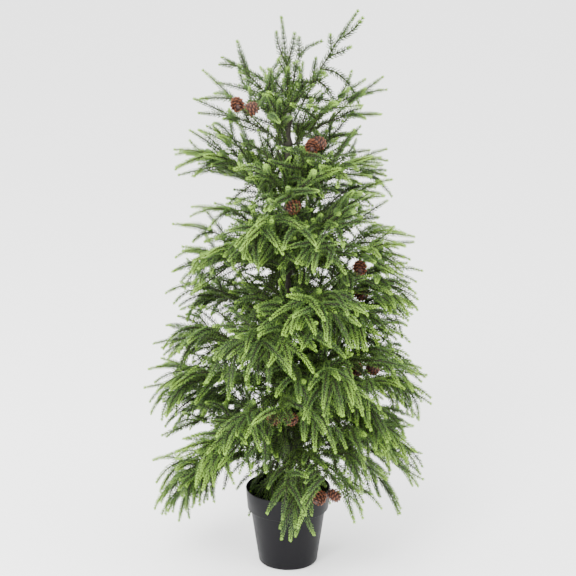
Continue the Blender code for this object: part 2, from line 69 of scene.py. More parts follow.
lens = bpy.data.cameras.new("camera")
lens.sensor_width = SENSOR_WIDTH
lens.lens = SENSOR_WIDTH * CAMERA_DISTANCE / WIDTH_SEEN
camera = bpy.data.objects.new("camera", lens)
camera.location = (
    0.0,
    -CAMERA_DISTANCE * math.cos(CAMERA_ELEVATION),
    AIM_HEIGHT + CAMERA_DISTANCE * math.sin(CAMERA_ELEVATION),
)
camera.rotation_euler = (math.pi / 2 - CAMERA_ELEVATION, 0.0, 0.0)
bpy.context.scene.collection.objects.link(camera)
bpy.context.scene.camera = camera
print("focal length", round(lens.lens, 1), "mm")

# %% [markdown]
# ## Small helpers for nodes
#
# A material is a little network. A few helpers keep each network short to read: they add a node with
# its settings, start a reusable node group with named sockets, join nodes by name, and place a group
# in a material. Groups only put out colours and heights. The shader itself stays outside.

# %% Node helpers


def add_node(tree, kind, settings=None, values=None):
    """A node of that kind, with its settings and the values of its unlinked inputs."""
    made = tree.nodes.new(kind)
    for name, setting in (settings or {}).items():
        setattr(made, name, setting)
    for socket, value in (values or {}).items():
        made.inputs[socket].default_value = value
    return made


def start_group(name, inputs, outputs):
    """A shader node group with named sockets; gives it with its input and output nodes."""
    group = bpy.data.node_groups.new(name, "ShaderNodeTree")
    for label, kind, value in inputs:
        socket = group.interface.new_socket(name=label, in_out="INPUT", socket_type=kind)
        socket.default_value = value
    for label, kind in outputs:
        group.interface.new_socket(name=label, in_out="OUTPUT", socket_type=kind)
    return group, group.nodes.new("NodeGroupInput"), group.nodes.new("NodeGroupOutput")


def wire(tree, *links):
    """Joins nodes: each link is a node and its output, then a node and its input."""
    for source, out_name, target, in_name in links:
        tree.links.new(source.outputs[out_name], target.inputs[in_name])


def place_group(tree, group, values=None):
    """An instance of a group in a material, with its own values."""
    return add_node(tree, "ShaderNodeGroup", {"node_tree": group}, values)


def start_material(name, roughness, metallic=0.0):
    """A material with its Principled shader, whose even numbers are set on its own sockets."""
    made = bpy.data.materials.new(name)
    made.use_nodes = True
    shader = made.node_tree.nodes["Principled BSDF"]
    shader.inputs["Roughness"].default_value = roughness
    shader.inputs["Metallic"].default_value = metallic
    return made, made.node_tree, shader


FLOAT, COLOUR, VECTOR = "NodeSocketFloat", "NodeSocketColor", "NodeSocketVector"
print("node helpers ready")

# %% [markdown]
# ## A group for uneven tone
#
# No moulded, cast or wound surface has one even colour. This group wanders between two colours with
# a soft noise. The pot, the cement, the tapes and the cones all use it at their own size and strength.

# %% Uneven tone group
uneven_tone, entry, exit_node = start_group(
    "uneven tone",
    [
        ("Position", VECTOR, (0.0, 0.0, 0.0)),
        ("Colour", COLOUR, (0.5, 0.5, 0.5, 1.0)),
        ("Other Colour", COLOUR, (0.3, 0.3, 0.3, 1.0)),
        ("Patch Size", FLOAT, 30.0),
        ("Contrast", FLOAT, 0.5),
    ],
    [("Colour", COLOUR), ("Mask", FLOAT)],
)
patches = add_node(uneven_tone, "ShaderNodeTexNoise", None, {"Detail": 6.0, "Roughness": 0.6})
spread = add_node(uneven_tone, "ShaderNodeMapRange", None, {"From Min": 0.35, "From Max": 0.68})
amount = add_node(uneven_tone, "ShaderNodeMath", {"operation": "MULTIPLY"})
blend = add_node(uneven_tone, "ShaderNodeMix", {"data_type": "RGBA"})
wire(
    uneven_tone,
    (entry, "Position", patches, "Vector"),
    (entry, "Patch Size", patches, "Scale"),
    (patches, "Fac", spread, "Value"),
    (spread, "Result", amount, 0),
    (entry, "Contrast", amount, 1),
    (amount, "Value", blend, "Factor"),
    (entry, "Colour", blend, "A"),
    (entry, "Other Colour", blend, "B"),
    (blend, "Result", exit_node, "Colour"),
    (spread, "Result", exit_node, "Mask"),
)
print("group", uneven_tone.name, "with", len(uneven_tone.nodes), "nodes")

# %% [markdown]
# ## A group for fine grain
#
# Grain is a height, not a colour: tiny bumps that break up a highlight. The group adds a coarse and a
# fine noise. Each material sends the height through its own Bump node.

# %% Fine grain group
fine_grain, entry, exit_node = start_group(
    "fine grain",
    [("Position", VECTOR, (0.0, 0.0, 0.0)), ("Scale", FLOAT, 400.0), ("Coarse Share", FLOAT, 0.3)],
    [("Height", FLOAT)],
)
fine = add_node(fine_grain, "ShaderNodeTexNoise", None, {"Detail": 3.0})
coarse = add_node(fine_grain, "ShaderNodeTexNoise", None, {"Scale": 60.0, "Detail": 4.0})
mixed = add_node(fine_grain, "ShaderNodeMix", {"data_type": "FLOAT"})
wire(
    fine_grain,
    (entry, "Position", fine, "Vector"),
    (entry, "Position", coarse, "Vector"),
    (entry, "Scale", fine, "Scale"),
    (entry, "Coarse Share", mixed, "Factor"),
    (fine, "Fac", mixed, "A"),
    (coarse, "Fac", mixed, "B"),
    (mixed, "Result", exit_node, "Height"),
)
print("group", fine_grain.name, "with", len(fine_grain.nodes), "nodes")

# %% [markdown]
# ## Tone and grain in one line each
#
# The cones, the pot and the cement use both groups in the same way, so two helpers place and join them.

# %% Tone and grain helpers


def opaque(colour):
    return (*colour, 1.0)


def add_tone(tree, place, colour, other, patch, contrast, out="Object"):
    """The uneven tone group between two colours, fed with the place that a node gives."""
    colours = {"Colour": opaque(colour), "Other Colour": opaque(other)}
    tone = place_group(tree, uneven_tone, {**colours, "Patch Size": patch, "Contrast": contrast})
    wire(tree, (place, out, tone, "Position"))
    return tone


def add_grain(tree, place, shader, scale, coarse, strength, distance):
    """The fine grain group, sent through a Bump node to the shader's Normal."""
    grain = place_group(tree, fine_grain, {"Scale": scale, "Coarse Share": coarse})
    bump = add_node(tree, "ShaderNodeBump", None, {"Strength": strength, "Distance": distance})
    wire(
        tree,
        (place, "Object", grain, "Position"),
        (grain, "Height", bump, "Height"),
        (bump, "Normal", shader, "Normal"),
    )


print("tone and grain helpers ready")

# %% [markdown]
# ## A group for wound tape
#
# The trunk and the stems are bound with a narrow tape that climbs in a steep spiral. The overlap of
# one turn on the next is a small step, so the height is a saw wave: along the piece, plus the angle
# round it. The group takes the two and puts out the step's height and a mask of its dark edge.

# %% Wound tape group
wound_tape, entry, exit_node = start_group(
    "wound tape",
    [("Along", FLOAT, 0.0), ("Around", FLOAT, 0.0), ("Turns Per Metre", FLOAT, 90.0)],
    [("Height", FLOAT), ("Edge", FLOAT)],
)
climb = add_node(wound_tape, "ShaderNodeMath", {"operation": "MULTIPLY_ADD"})
saw = add_node(wound_tape, "ShaderNodeMath", {"operation": "FRACT"})
edge = add_node(wound_tape, "ShaderNodeMapRange", None, {"From Min": 0.78, "From Max": 1.0})
wire(
    wound_tape,
    (entry, "Along", climb, 0),
    (entry, "Turns Per Metre", climb, 1),
    (entry, "Around", climb, 2),
    (climb, "Value", saw, 0),
    (saw, "Value", edge, "Value"),
    (saw, "Value", exit_node, "Height"),
    (edge, "Result", exit_node, "Edge"),
)
print("group", wound_tape.name, "with", len(wound_tape.nodes), "nodes")

# %% [markdown]
# ## A group for needle colour
#
# A moulded needle is pale at its blunt end, and its foot, deep inside its finger, is painted in shade.
# Young needles at the end of a finger are yellower, and needles near the trunk are painted darker as
# shade inside the tree. Two numbers say this: how far along the needle a point is, and how young the
# needle is. Both come from a UV map that the needles are born with, so the colour stays with each needle
# however the branch is bent.

# %% Needle colour group
needle_colour, entry, exit_node = start_group(
    "needle colour",
    [
        ("Along", FLOAT, 0.5),
        ("Youth", FLOAT, 0.5),
        ("Wood", COLOUR, (0.02, 0.02, 0.01, 1.0)),
        ("Old", COLOUR, (0.02, 0.06, 0.02, 1.0)),
        ("Grown", COLOUR, (0.07, 0.2, 0.05, 1.0)),
        ("Young", COLOUR, (0.3, 0.5, 0.1, 1.0)),
        ("Tip Light", FLOAT, 0.5),
    ],
    [("Colour", COLOUR)],
)
shade_to_grown = add_node(needle_colour, "ShaderNodeMapRange", None, {"From Min": 0.05, "From Max": 0.55})
grown_to_young = add_node(needle_colour, "ShaderNodeMapRange", None, {"From Min": 0.5, "From Max": 1.0})
towards_tip = add_node(needle_colour, "ShaderNodeMapRange", None, {"From Min": 0.45, "From Max": 1.0})
# Painted shade at a needle's foot: the shaded green holds there and gives way by mid-needle.
out_of_shade = add_node(needle_colour, "ShaderNodeMapRange", None, {"From Min": 0.14, "From Max": 0.62})
tip_share = add_node(needle_colour, "ShaderNodeMath", {"operation": "MULTIPLY"})
young_share = add_node(needle_colour, "ShaderNodeMath", {"operation": "ADD"})
young_limit = add_node(needle_colour, "ShaderNodeMath", {"operation": "MINIMUM"}, {1: 1.0})
wood_mask = add_node(needle_colour, "ShaderNodeMapRange", None, {"From Min": 0.10, "From Max": 0.18})
body_mix = add_node(needle_colour, "ShaderNodeMix", {"data_type": "RGBA"})
young_mix = add_node(needle_colour, "ShaderNodeMix", {"data_type": "RGBA"})
foot_shade_mix = add_node(needle_colour, "ShaderNodeMix", {"data_type": "RGBA"})
wood_mix = add_node(needle_colour, "ShaderNodeMix", {"data_type": "RGBA"})
wire(
    needle_colour,
    (entry, "Youth", shade_to_grown, "Value"),
    (entry, "Youth", grown_to_young, "Value"),
    (entry, "Along", towards_tip, "Value"),
    (entry, "Along", wood_mask, "Value"),
    (towards_tip, "Result", tip_share, 0),
    (entry, "Tip Light", tip_share, 1),
    (grown_to_young, "Result", young_share, 0),
    (tip_share, "Value", young_share, 1),
    (young_share, "Value", young_limit, 0),
    (shade_to_grown, "Result", body_mix, "Factor"),
    (entry, "Old", body_mix, "A"),
    (entry, "Grown", body_mix, "B"),
    (young_limit, "Value", young_mix, "Factor"),
    (body_mix, "Result", young_mix, "A"),
    (entry, "Young", young_mix, "B"),
    (entry, "Along", out_of_shade, "Value"),
    (out_of_shade, "Result", foot_shade_mix, "Factor"),
    (entry, "Old", foot_shade_mix, "A"),
    (young_mix, "Result", foot_shade_mix, "B"),
    (wood_mask, "Result", wood_mix, "Factor"),
    (entry, "Wood", wood_mix, "A"),
    (foot_shade_mix, "Result", wood_mix, "B"),
    (wood_mix, "Result", exit_node, "Colour"),
)
print("group", needle_colour.name, "with", len(needle_colour.nodes), "nodes")

# %% [markdown]
# ## The needles' materials
#
# All foliage is one soft plastic, moulded in a few greens, and the darkest green of each is painted
# shade. The skirt of the tree is a full mid green, and the crown is a touch lighter in that painted
# shade and a little paler at the needles' ends.

# %% Needle materials
NEEDLE_MAP = "OFBake"
WOOD_BROWN = (0.018, 0.017, 0.008)


def needle_material(name, shaded_green, grown, young, tip_light):
    made, tree, shader = start_material(name, roughness=0.5)
    shader.inputs["Specular IOR Level"].default_value = 0.22
    place = add_node(tree, "ShaderNodeUVMap", {"uv_map": NEEDLE_MAP})
    split = add_node(tree, "ShaderNodeSeparateXYZ")
    greens = {"Wood": opaque(WOOD_BROWN), "Old": opaque(shaded_green), "Grown": opaque(grown), "Young": opaque(young)}
    colour = place_group(tree, needle_colour, {**greens, "Tip Light": tip_light})
    wire(
        tree,
        (place, "UV", split, "Vector"),
        (split, "X", colour, "Along"),
        (split, "Y", colour, "Youth"),
        (colour, "Colour", shader, "Base Color"),
    )
    return made


# Each first green is painted shade, for the needles' feet and the inside of the tree.
skirt_needles = needle_material(
    "needles of the skirt", (0.004, 0.010, 0.004), (0.025, 0.060, 0.021), (0.240, 0.430, 0.048), 0.30
)
crown_needles = needle_material(
    "needles of the crown", (0.005, 0.011, 0.005), (0.026, 0.061, 0.023), (0.240, 0.420, 0.055), 0.32
)
print("needle materials:", skirt_needles.name, "and", crown_needles.name)

# %% [markdown]
# ## The line of a branch
#
# Each branch of the frame is an arch in an upright plane: it leaves the trunk at a slope, bends, and
# ends at another slope. The same table that shaped the frame is repeated here, because the needles
# must sit on the same arches. `Arch.place` gives a point from three plain numbers: how far out along
# the heading, how far across it, and how far above the arch turned about the trunk.

# %% Branch table
# Height to droop shape a whorl's arches. The rest dresses them: side twigs of the main and of the upper
# limb, how far the upper limb is lifted, how steeply twigs climb, inner sprigs and their length, the
# distance between fingers on a twig and on a limb, how much fingers hang, and their length.
ROOT_OUT = 0.0106  # where a stem leaves the binding, from the trunk's axis

WHORLS = (
    dict(height=0.185, count=4, heading=24, reach=0.234, rise=20, droop=-40, twigs=10, upper=9,
         lift=0.066, climb=0.0, sprigs=5, sprig=0.060,
         pace=0.0205, limb_pace=0.019, weep=0.80, finger=0.064),
    dict(height=0.288, count=4, heading=86, reach=0.228, rise=26, droop=-24, twigs=10, upper=10,
         lift=0.062, climb=0.0, sprigs=6, sprig=0.060,
         pace=0.0212, limb_pace=0.019, weep=0.95, finger=0.066),
    dict(height=0.391, count=3, heading=15, reach=0.212, rise=30, droop=-12, twigs=11, upper=10,
         lift=0.058, climb=0.04, sprigs=6, sprig=0.060,
         pace=0.0248, limb_pace=0.019, weep=0.90, finger=0.066),
    dict(height=0.494, count=3, heading=95, reach=0.192, rise=34, droop=-8, twigs=9, upper=7,
         lift=0.072, climb=0.18, sprigs=8, sprig=0.065,
         pace=0.0240, limb_pace=0.022, weep=0.62, finger=0.063),
    dict(height=0.597, count=3, heading=35, reach=0.170, rise=40, droop=4, twigs=5, upper=3,
         lift=0.040, climb=0.34, sprigs=7, sprig=0.075,
         pace=0.042, limb_pace=0.034, weep=0.34, finger=0.060),
    dict(height=0.700, count=3, heading=95, reach=0.150, rise=44, droop=6, twigs=2, upper=1,
         lift=0.016, climb=0.34, sprigs=3, sprig=0.044,
         pace=0.072, limb_pace=0.060, weep=0.22, finger=0.058),
)
LEADERS = (
    dict(name="leader_right", height=0.738, heading=-4, reach=0.108, rise=66, droop=55),
    dict(name="leader_left", height=0.738, heading=176, reach=0.100, rise=66, droop=28),
)


print("whorls:", len(WHORLS), "branches:", sum(whorl["count"] for whorl in WHORLS))

# %% Arch


def unit(vectors):
    return vectors / np.maximum(np.linalg.norm(vectors, axis=-1, keepdims=True), 1e-9)


class Arch:
    """A branch's centre line: a stretch of a circle in its own upright plane."""

    def __init__(self, height, heading, reach, rise, droop, turned=True):
        self.height = height
        self.heading = math.radians(heading)
        self.reach = reach
        self.turned = turned
        self.rise = math.radians(rise)
        self.bend = (reach - ROOT_OUT) / (math.sin(math.radians(droop)) - math.sin(self.rise))

    def level(self, out):
        sine = np.clip(math.sin(self.rise) + (out - ROOT_OUT) / self.bend, -0.98, 0.98)
        return self.height + self.bend * (math.cos(self.rise) - np.cos(np.arcsin(sine)))

    def place(self, out, across=0.0, lift=0.0):
        out, across = np.asarray(out, float), np.asarray(across, float)
        level = self.level(np.hypot(out, across) if self.turned else out) + lift
        cos, sin = math.cos(self.heading), math.sin(self.heading)
        return np.stack([out * cos - across * sin, out * sin + across * cos, level], axis=-1)


# %% The arches


def branch_name(whorl, number):
    return f"branch_{whorl + 1}{number + 1}"


arches = {}
for whorl_number, whorl in enumerate(WHORLS):
    for number in range(whorl["count"]):
        reach = whorl["reach"] * random.Random(100 * whorl_number + number).uniform(0.97, 1.0)
        heading = whorl["heading"] + 360 * number / whorl["count"]
        arches[branch_name(whorl_number, number)] = Arch(
            whorl["height"], heading, reach, whorl["rise"], whorl["droop"]
        )
for leader in LEADERS:
    shape = [leader[key] for key in ("height", "heading", "reach", "rise", "droop")]
    arches[leader["name"]] = Arch(*shape, turned=False)
for name in ("branch_11", "branch_63", "leader_right"):
    low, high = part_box(f"{name}_stem")
    root = arches[name].place(ROOT_OUT)
    inside = all(a - 0.003 < r < b + 0.003 for a, r, b in zip(low, root, high))
    print(name, "root inside its stem's box:", inside)

# %% [markdown]
# ## Where the cones hang
#
# Each pick holds one or two cones. The frame has them as plain turned shapes on a thin wire, and here only
# the cones are modelled. Their places come from the same table of picks. They are worked out before the
# foliage, because whoever dresses such a tree parts the fingers in front of a cone so that it shows.

# %% Cone picks
CONE_LIFT = 0.021  # of a cone's centre from its branch
PAIR_STEP = 0.025  # between the two cones of a pair
PICKS = (
    dict(branch="branch_62", out=0.088, cones=2, side=1, crossed=False),
    dict(branch="branch_63", out=0.034, cones=2, side=-1, crossed=True),
    dict(branch="branch_53", out=0.090, cones=1, side=-1, crossed=False),
    dict(branch="branch_43", out=0.120, cones=1, side=-1, crossed=False),
    dict(branch="branch_31", out=0.122, cones=1, side=1, crossed=False),
    dict(branch="branch_24", out=0.122, cones=2, side=1, crossed=False),
    dict(branch="branch_23", out=0.124, cones=2, side=-1, crossed=True),
    dict(branch="branch_14", out=0.156, cones=2, side=-1, crossed=True),
)


def off_arch(arch, out, distance):
    """A point square to the arch, above it or below it."""
    near, far = arch.place(out - 0.001), arch.place(out + 0.001)
    ahead = unit(far - near)
    sideways = np.array([-math.sin(arch.heading), math.cos(arch.heading), 0.0])
    return arch.place(out) + np.cross(ahead, sideways) * distance, sideways


def cone_centres(pick):
    """Centres of a pick's cones."""
    arch = arches[pick["branch"]]
    centres = []
    for i in range(pick["cones"]):
        step = PAIR_STEP * (i - (pick["cones"] - 1) / 2)
        along = 0.0 if pick["crossed"] else step
        centre, sideways = off_arch(arch, pick["out"] + along, pick["side"] * CONE_LIFT)
        centres.append(centre + sideways * step if pick["crossed"] else centre)
    return np.array(centres)


CONE_CENTRES = np.concatenate([cone_centres(pick) for pick in PICKS])
print("cones:", len(CONE_CENTRES))

# %% Room for cones and pot
VIEWER = unit(np.array([0.0, -0.96, 0.29]))
CONE_ROOM = 0.0135  # from a cone's centre to the nearest finger
POT_CLEAR_HALF = 0.085  # half the width over the pot that stays open
SIGHT_SLOPE = 0.306  # of a line of sight, raised by 17 degrees
POT_CLEAR_TOP = 0.052  # where that line, through a finger's point, meets the trunk's axis


def clear_of_cones(path):
    """True if a finger leaves room round every cone and in front of it."""
    gap = path[:, None] - CONE_CENTRES
    ahead = np.clip(gap @ VIEWER, 0.0, None)
    return bool((np.linalg.norm(gap - ahead[..., None] * VIEWER, axis=-1) > CONE_ROOM).all())


def shows_pot(path):
    """True unless a finger would hang down over the front of the pot's body."""
    over_pot = np.abs(path[:, 0]) < POT_CLEAR_HALF
    return not bool((over_pot & (path[:, 2] + SIGHT_SLOPE * path[:, 1] < POT_CLEAR_TOP)).any())


PICK_SLACK = 0.004
for number, pick in enumerate(PICKS, start=1):
    low, high = (np.array(corner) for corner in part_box(f"cone_pick_{number}"))
    middle = cone_centres(pick).mean(0)
    inside = (middle > low - PICK_SLACK).all() and (middle < high + PICK_SLACK).all()
    print("pick", number, "centre in its box:", bool(inside))

# %% [markdown]
# ## One needle, many times
#
# A moulded needle is pinched at its foot, thickest in the middle and blunt at its end, and it curves in
# along its twig. Here it is a slim three-sided spindle: a point, two rings of three and a flat end. Seven
# points are few enough to repeat a quarter of a million times as real, closed geometry. Particles or
# instances would do it too, but real faces stay with their branch in every pose and can be printed, so
# the arrays are worked out with numpy and filled in at once.

# %% Needle sizes
SPINDLE_SIDES = np.array([[1, 2, 5, 4], [2, 3, 6, 5], [3, 1, 4, 6]])
SPINDLE_ENDS = np.array([[0, 2, 1], [0, 3, 2], [0, 1, 3], [4, 5, 6]])
SPINDLE_MAP = np.array([[0.14, 0.5], [0.46, 0], [0.50, 0.5], [0.46, 1], [0.96, 0], [1.0, 0.5], [0.96, 1]])
YOUTH_WIDTH = 0.012  # of one needle on the map
NEEDLE_THICK = 0.00070
NEEDLE_BLUNT = 0.00042
RING_STEP = 0.0040  # from one ring of needles to the next
RING_NEEDLES = 6
FOOT_LEAN = math.radians(62)  # of a needle from its twig, where it leaves it
END_LEAN = math.radians(48)  # and at its end
END_TUFT = 4  # needles that close a finger's end
print("one needle has", len(SPINDLE_SIDES), "quads and", len(SPINDLE_ENDS), "triangles")

# %% Greenery


class Greenery:
    """Collects the faces of one branch's foliage, and the place of each point on the needles' map."""

    def __init__(self):
        self.points, self.places, self.quads, self.tris = [], [], [], []
        self.count = 0

    def add(self, points, places, quads, tris):
        self.points.append(points)
        self.places.append(places)
        self.quads.append(quads + self.count)
        self.tris.append(tris + self.count)
        self.count += len(points)

    def mesh(self, name):
        """One mesh, filled from arrays in one go."""
        points, places = np.concatenate(self.points), np.concatenate(self.places)
        quads, tris = np.concatenate(self.quads), np.concatenate(self.tris)
        corners = np.concatenate([quads.ravel(), tris.ravel()])
        starts = np.concatenate([np.arange(len(quads)) * 4, len(quads) * 4 + np.arange(len(tris)) * 3])
        made = bpy.data.meshes.new(name)
        made.vertices.add(len(points))
        made.vertices.foreach_set("co", points.astype(np.float32).ravel())
        made.loops.add(len(corners))
        made.loops.foreach_set("vertex_index", corners.astype(np.int32))
        made.polygons.add(len(starts))
        made.polygons.foreach_set("loop_start", starts.astype(np.int32))
        made.update(calc_edges=True)
        layer = made.uv_layers.new(name=NEEDLE_MAP)
        layer.data.foreach_set("uv", places[corners].astype(np.float32).ravel())
        made.shade_smooth()
        return made


# %% Along a path


def frames_along(path):
    """Directions of a path at its points, and two directions square to each."""
    ahead = unit(np.gradient(path, axis=0))
    reference = np.array([0.0, 0.0, 1.0]) if abs(ahead[0, 2]) < 0.9 else np.array([0.0, 1.0, 0.0])
    side = unit(np.cross(ahead, reference))
    return ahead, side, np.cross(side, ahead)


def lengths_along(path):
    steps = np.linalg.norm(np.diff(path, axis=0), axis=1)
    return np.concatenate([[0.0], np.cumsum(steps)])


# %% Wood
WOOD_SIDES = 5


def add_wood(greenery, path, thick, thin, youth):
    """The twig's own body: a five-sided tube that tapers to a closed end."""
    sides = WOOD_SIDES
    ahead, side, over = frames_along(path)
    turn = np.linspace(0, 2 * math.pi, sides, endpoint=False)
    radius = np.linspace(thick, thin, len(path))[:, None, None]
    ring = np.cos(turn)[None, :, None] * side[:, None] + np.sin(turn)[None, :, None] * over[:, None]
    points = (path[:, None] + ring * radius).reshape(-1, 3)
    points = np.concatenate([points, path[:1] - ahead[:1] * thick, path[-1:] + ahead[-1:] * thin])
    i, j = np.meshgrid(np.arange(len(path) - 1), np.arange(sides), indexing="ij")
    k = (j + 1) % sides
    quads = np.stack([i * sides + j, i * sides + k, (i + 1) * sides + k, (i + 1) * sides + j], -1)
    quads = quads.reshape(-1, 4)
    foot, end = len(points) - 2, len(points) - 1
    j = np.arange(sides)
    k = (j + 1) % sides
    last = (len(path) - 1) * sides
    foot_fan = np.stack([k, j, np.full(sides, foot)], -1)
    end_fan = np.stack([last + j, last + k, np.full(sides, end)], -1)
    u = np.repeat(np.linspace(0.02, 0.08, len(path)), sides)
    v = youth + np.tile(j / sides, len(path)) * YOUTH_WIDTH
    ends = [[0.01, youth + 0.005], [0.09, youth + 0.005]]
    places = np.concatenate([np.stack([u, v], -1), ends])
    greenery.add(points, places, quads, np.concatenate([foot_fan, end_fan]))


# %% Rings of needles
SPINDLE_ANGLES = np.array([0.5, 2.594, 4.689])
MIDDLE_SHARE = 0.42  # of a needle's length, from its foot to its thickest ring
END_SHARE = 0.58


def add_needles(greenery, path, length, youth, rng, taper=0.45, stout=1.0):
    """Needles in rings round a path: they leave it steeply, curve in along it and shorten to its end."""
    along = lengths_along(path)
    total = along[-1]
    rings = max(2, round(total / RING_STEP))
    ring = np.concatenate([np.repeat(np.arange(rings), RING_NEEDLES), np.full(END_TUFT, rings - 0.6)])
    count = len(ring)
    place = np.clip((ring + 0.5 + rng.normal(0, 0.07, count)) / rings, 0.0, 0.995)
    ahead, side, _ = frames_along(path)
    at = np.stack([np.interp(place * total, along, path[:, k]) for k in range(3)], -1)
    forward = unit(np.stack([np.interp(place * total, along, ahead[:, k]) for k in range(3)], -1))
    first = unit(np.stack([np.interp(place * total, along, side[:, k]) for k in range(3)], -1))
    second = np.cross(first, forward)
    turn = (np.arange(count) + ring / 2) * 2 * math.pi / RING_NEEDLES + rng.normal(0, 0.13, count)
    outward = np.cos(turn)[:, None] * first + np.sin(turn)[:, None] * second
    foot_lean = FOOT_LEAN * (1.0 - 0.45 * taper * place**3) * rng.uniform(0.90, 1.10, count)
    end_lean = END_LEAN * (1.0 - taper * place**2) * rng.uniform(0.75, 1.25, count)
    size = length * (1.0 - taper * place**2.4) * rng.uniform(0.88, 1.10, count)
    foot_lean[-END_TUFT:] *= 0.45
    leave = np.cos(foot_lean)[:, None] * forward + np.sin(foot_lean)[:, None] * outward
    arrive = np.cos(end_lean)[:, None] * forward + np.sin(end_lean)[:, None] * outward
    across = unit(np.cross(leave, outward) + 1e-6)
    middle = at + leave * (size * MIDDLE_SHARE)[:, None]
    end = middle + arrive * (size * END_SHARE)[:, None]
    cosine, sine = np.cos(SPINDLE_ANGLES)[None, :, None], np.sin(SPINDLE_ANGLES)[None, :, None]
    ring = cosine * across[:, None] + sine * np.cross(across, leave)[:, None]
    rim = cosine * across[:, None] + sine * np.cross(across, arrive)[:, None]
    middle = middle[:, None] + ring * NEEDLE_THICK * stout
    end = end[:, None] + rim * NEEDLE_BLUNT * stout
    points = np.concatenate([at[:, None], middle, end], axis=1)
    base = (np.arange(count) * 7)[:, None, None]
    shade = np.clip(youth(place) + rng.normal(0, 0.05, count), 0.02, 0.96)[:, None, None]
    greenery.add(
        points.reshape(-1, 3),
        (SPINDLE_MAP * [1.0, YOUTH_WIDTH] + shade * [0.0, 1.0]).reshape(-1, 2),
        (SPINDLE_SIDES + base).reshape(-1, 4),
        (SPINDLE_ENDS + base).reshape(-1, 3),
    )


print("rings", RING_STEP * 1000, "mm apart, of", RING_NEEDLES, "needles")

# %% [markdown]
# ## Fingers
#
# What one sees of the tree are its fingers: soft brushes about as long and as thick as a real finger.
# Each leaves its twig at an angle and bends under its own weight, more in the skirt than in the crown.
# A finger's path is walked step by step, and at each step its direction is nudged a little.

# %% Finger sizes
NEEDLE_LENGTH = 0.0076
FINGER_STEPS = 8
FINGER_FOOT, FINGER_END = 0.0013, 0.0007  # radii of a finger's wood
END_YOUTH, END_YOUTH_POWER = 0.60, 2.6  # only the last part of a finger is young and bright
print("needles are", NEEDLE_LENGTH * 1000, "mm long")

# %% Paths


def walk(start, direction, length, nudge, steps=FINGER_STEPS):
    """A path of that length whose direction turns towards nudge as it goes."""
    points = [start]
    heading = unit(direction)
    for _ in range(steps):
        heading = unit(heading + nudge / steps)
        points.append(points[-1] + heading * length / steps)
    return np.array(points)


def held_inside(path, limit):
    """The same path shortened so that no point is further from the trunk's axis than limit."""
    out = np.hypot(path[:, 0], path[:, 1])
    over = out.max() - limit
    if over <= 0:
        return path
    share = max(0.45, 1.0 - over / max(out.max() - out[0], 0.001))
    return path[0] + (path - path[0]) * share


def add_finger(greenery, path, age, rng, stout=1.0):
    """One brush: its thin wood and its needles, younger towards the end."""

    def youth(place):
        return age + END_YOUTH * place**END_YOUTH_POWER

    add_wood(greenery, path, FINGER_FOOT * stout, FINGER_END * stout, 0.3)
    add_needles(greenery, path, NEEDLE_LENGTH * stout, youth, rng, stout=stout)


def turned_from(ahead, opening, roll):
    """A direction that opens from ahead by an angle, on the side that roll says: 0 is to the left."""
    up = np.array([0.0, 0.0, 1.0]) if abs(ahead[2]) < 0.95 else np.array([0.0, 1.0, 0.0])
    side = unit(np.cross(up, ahead))
    aside = side * math.cos(roll) + np.cross(ahead, side) * math.sin(roll)
    return unit(ahead * math.cos(opening) + aside * math.sin(opening))


DOWN = np.array([0.0, 0.0, -1.0])
print("a finger of 60 mm has about", round(0.060 / RING_STEP) * RING_NEEDLES, "needles")

# %% [markdown]
# ## A branch's spray
#
# Along the arch stand side twigs, left and right in turn, and on every twig fingers to the sides, above
# and below. Twigs follow the arch turned about the trunk, like the spokes of a shallow umbrella, so
# neighbouring branches close up into one layer. Wood near the trunk is dressed as well, which makes the
# inside of the tree full, and the needles there are painted darker as shade.

# %% Spray sizes
# The youth at the trunk is low: needles there are painted dark as shade inside the tree.
YOUTH_IN_TRUNK_SHADE, OUTER_YOUTH, YOUTH_POWER = 0.01, 0.33, 1.4
TWIG_FOOT, TWIG_END = 0.0015, 0.0010  # radii of a twig's wood
TWIG_YOUTHS = (-0.08, -0.02, 0.04, 0.20)  # some twigs are moulded in a younger green
BARE_END = 0.010  # of a twig, left for the fork at its end
FORK_SHARE = 0.75  # of the twigs that end in three fingers; the others end in two
THREE_FORK, TWO_FORK = (-0.55, 0.0, 0.55), (-0.3, 0.35)
OPENING = (30, 66)  # degrees between a finger and its twig


def shade_and_youth_at(point, limit):
    """How young the growth is, with painted shade inside: darkest beside the trunk, young and bright outside.
    """
    return YOUTH_IN_TRUNK_SHADE + OUTER_YOUTH * min(1.0, math.hypot(point[0], point[1]) / limit) ** YOUTH_POWER


print("youth at the trunk and outside:", shade_and_youth_at((0, 0), 1), round(shade_and_youth_at((1, 0), 1), 2))

# %% Twig


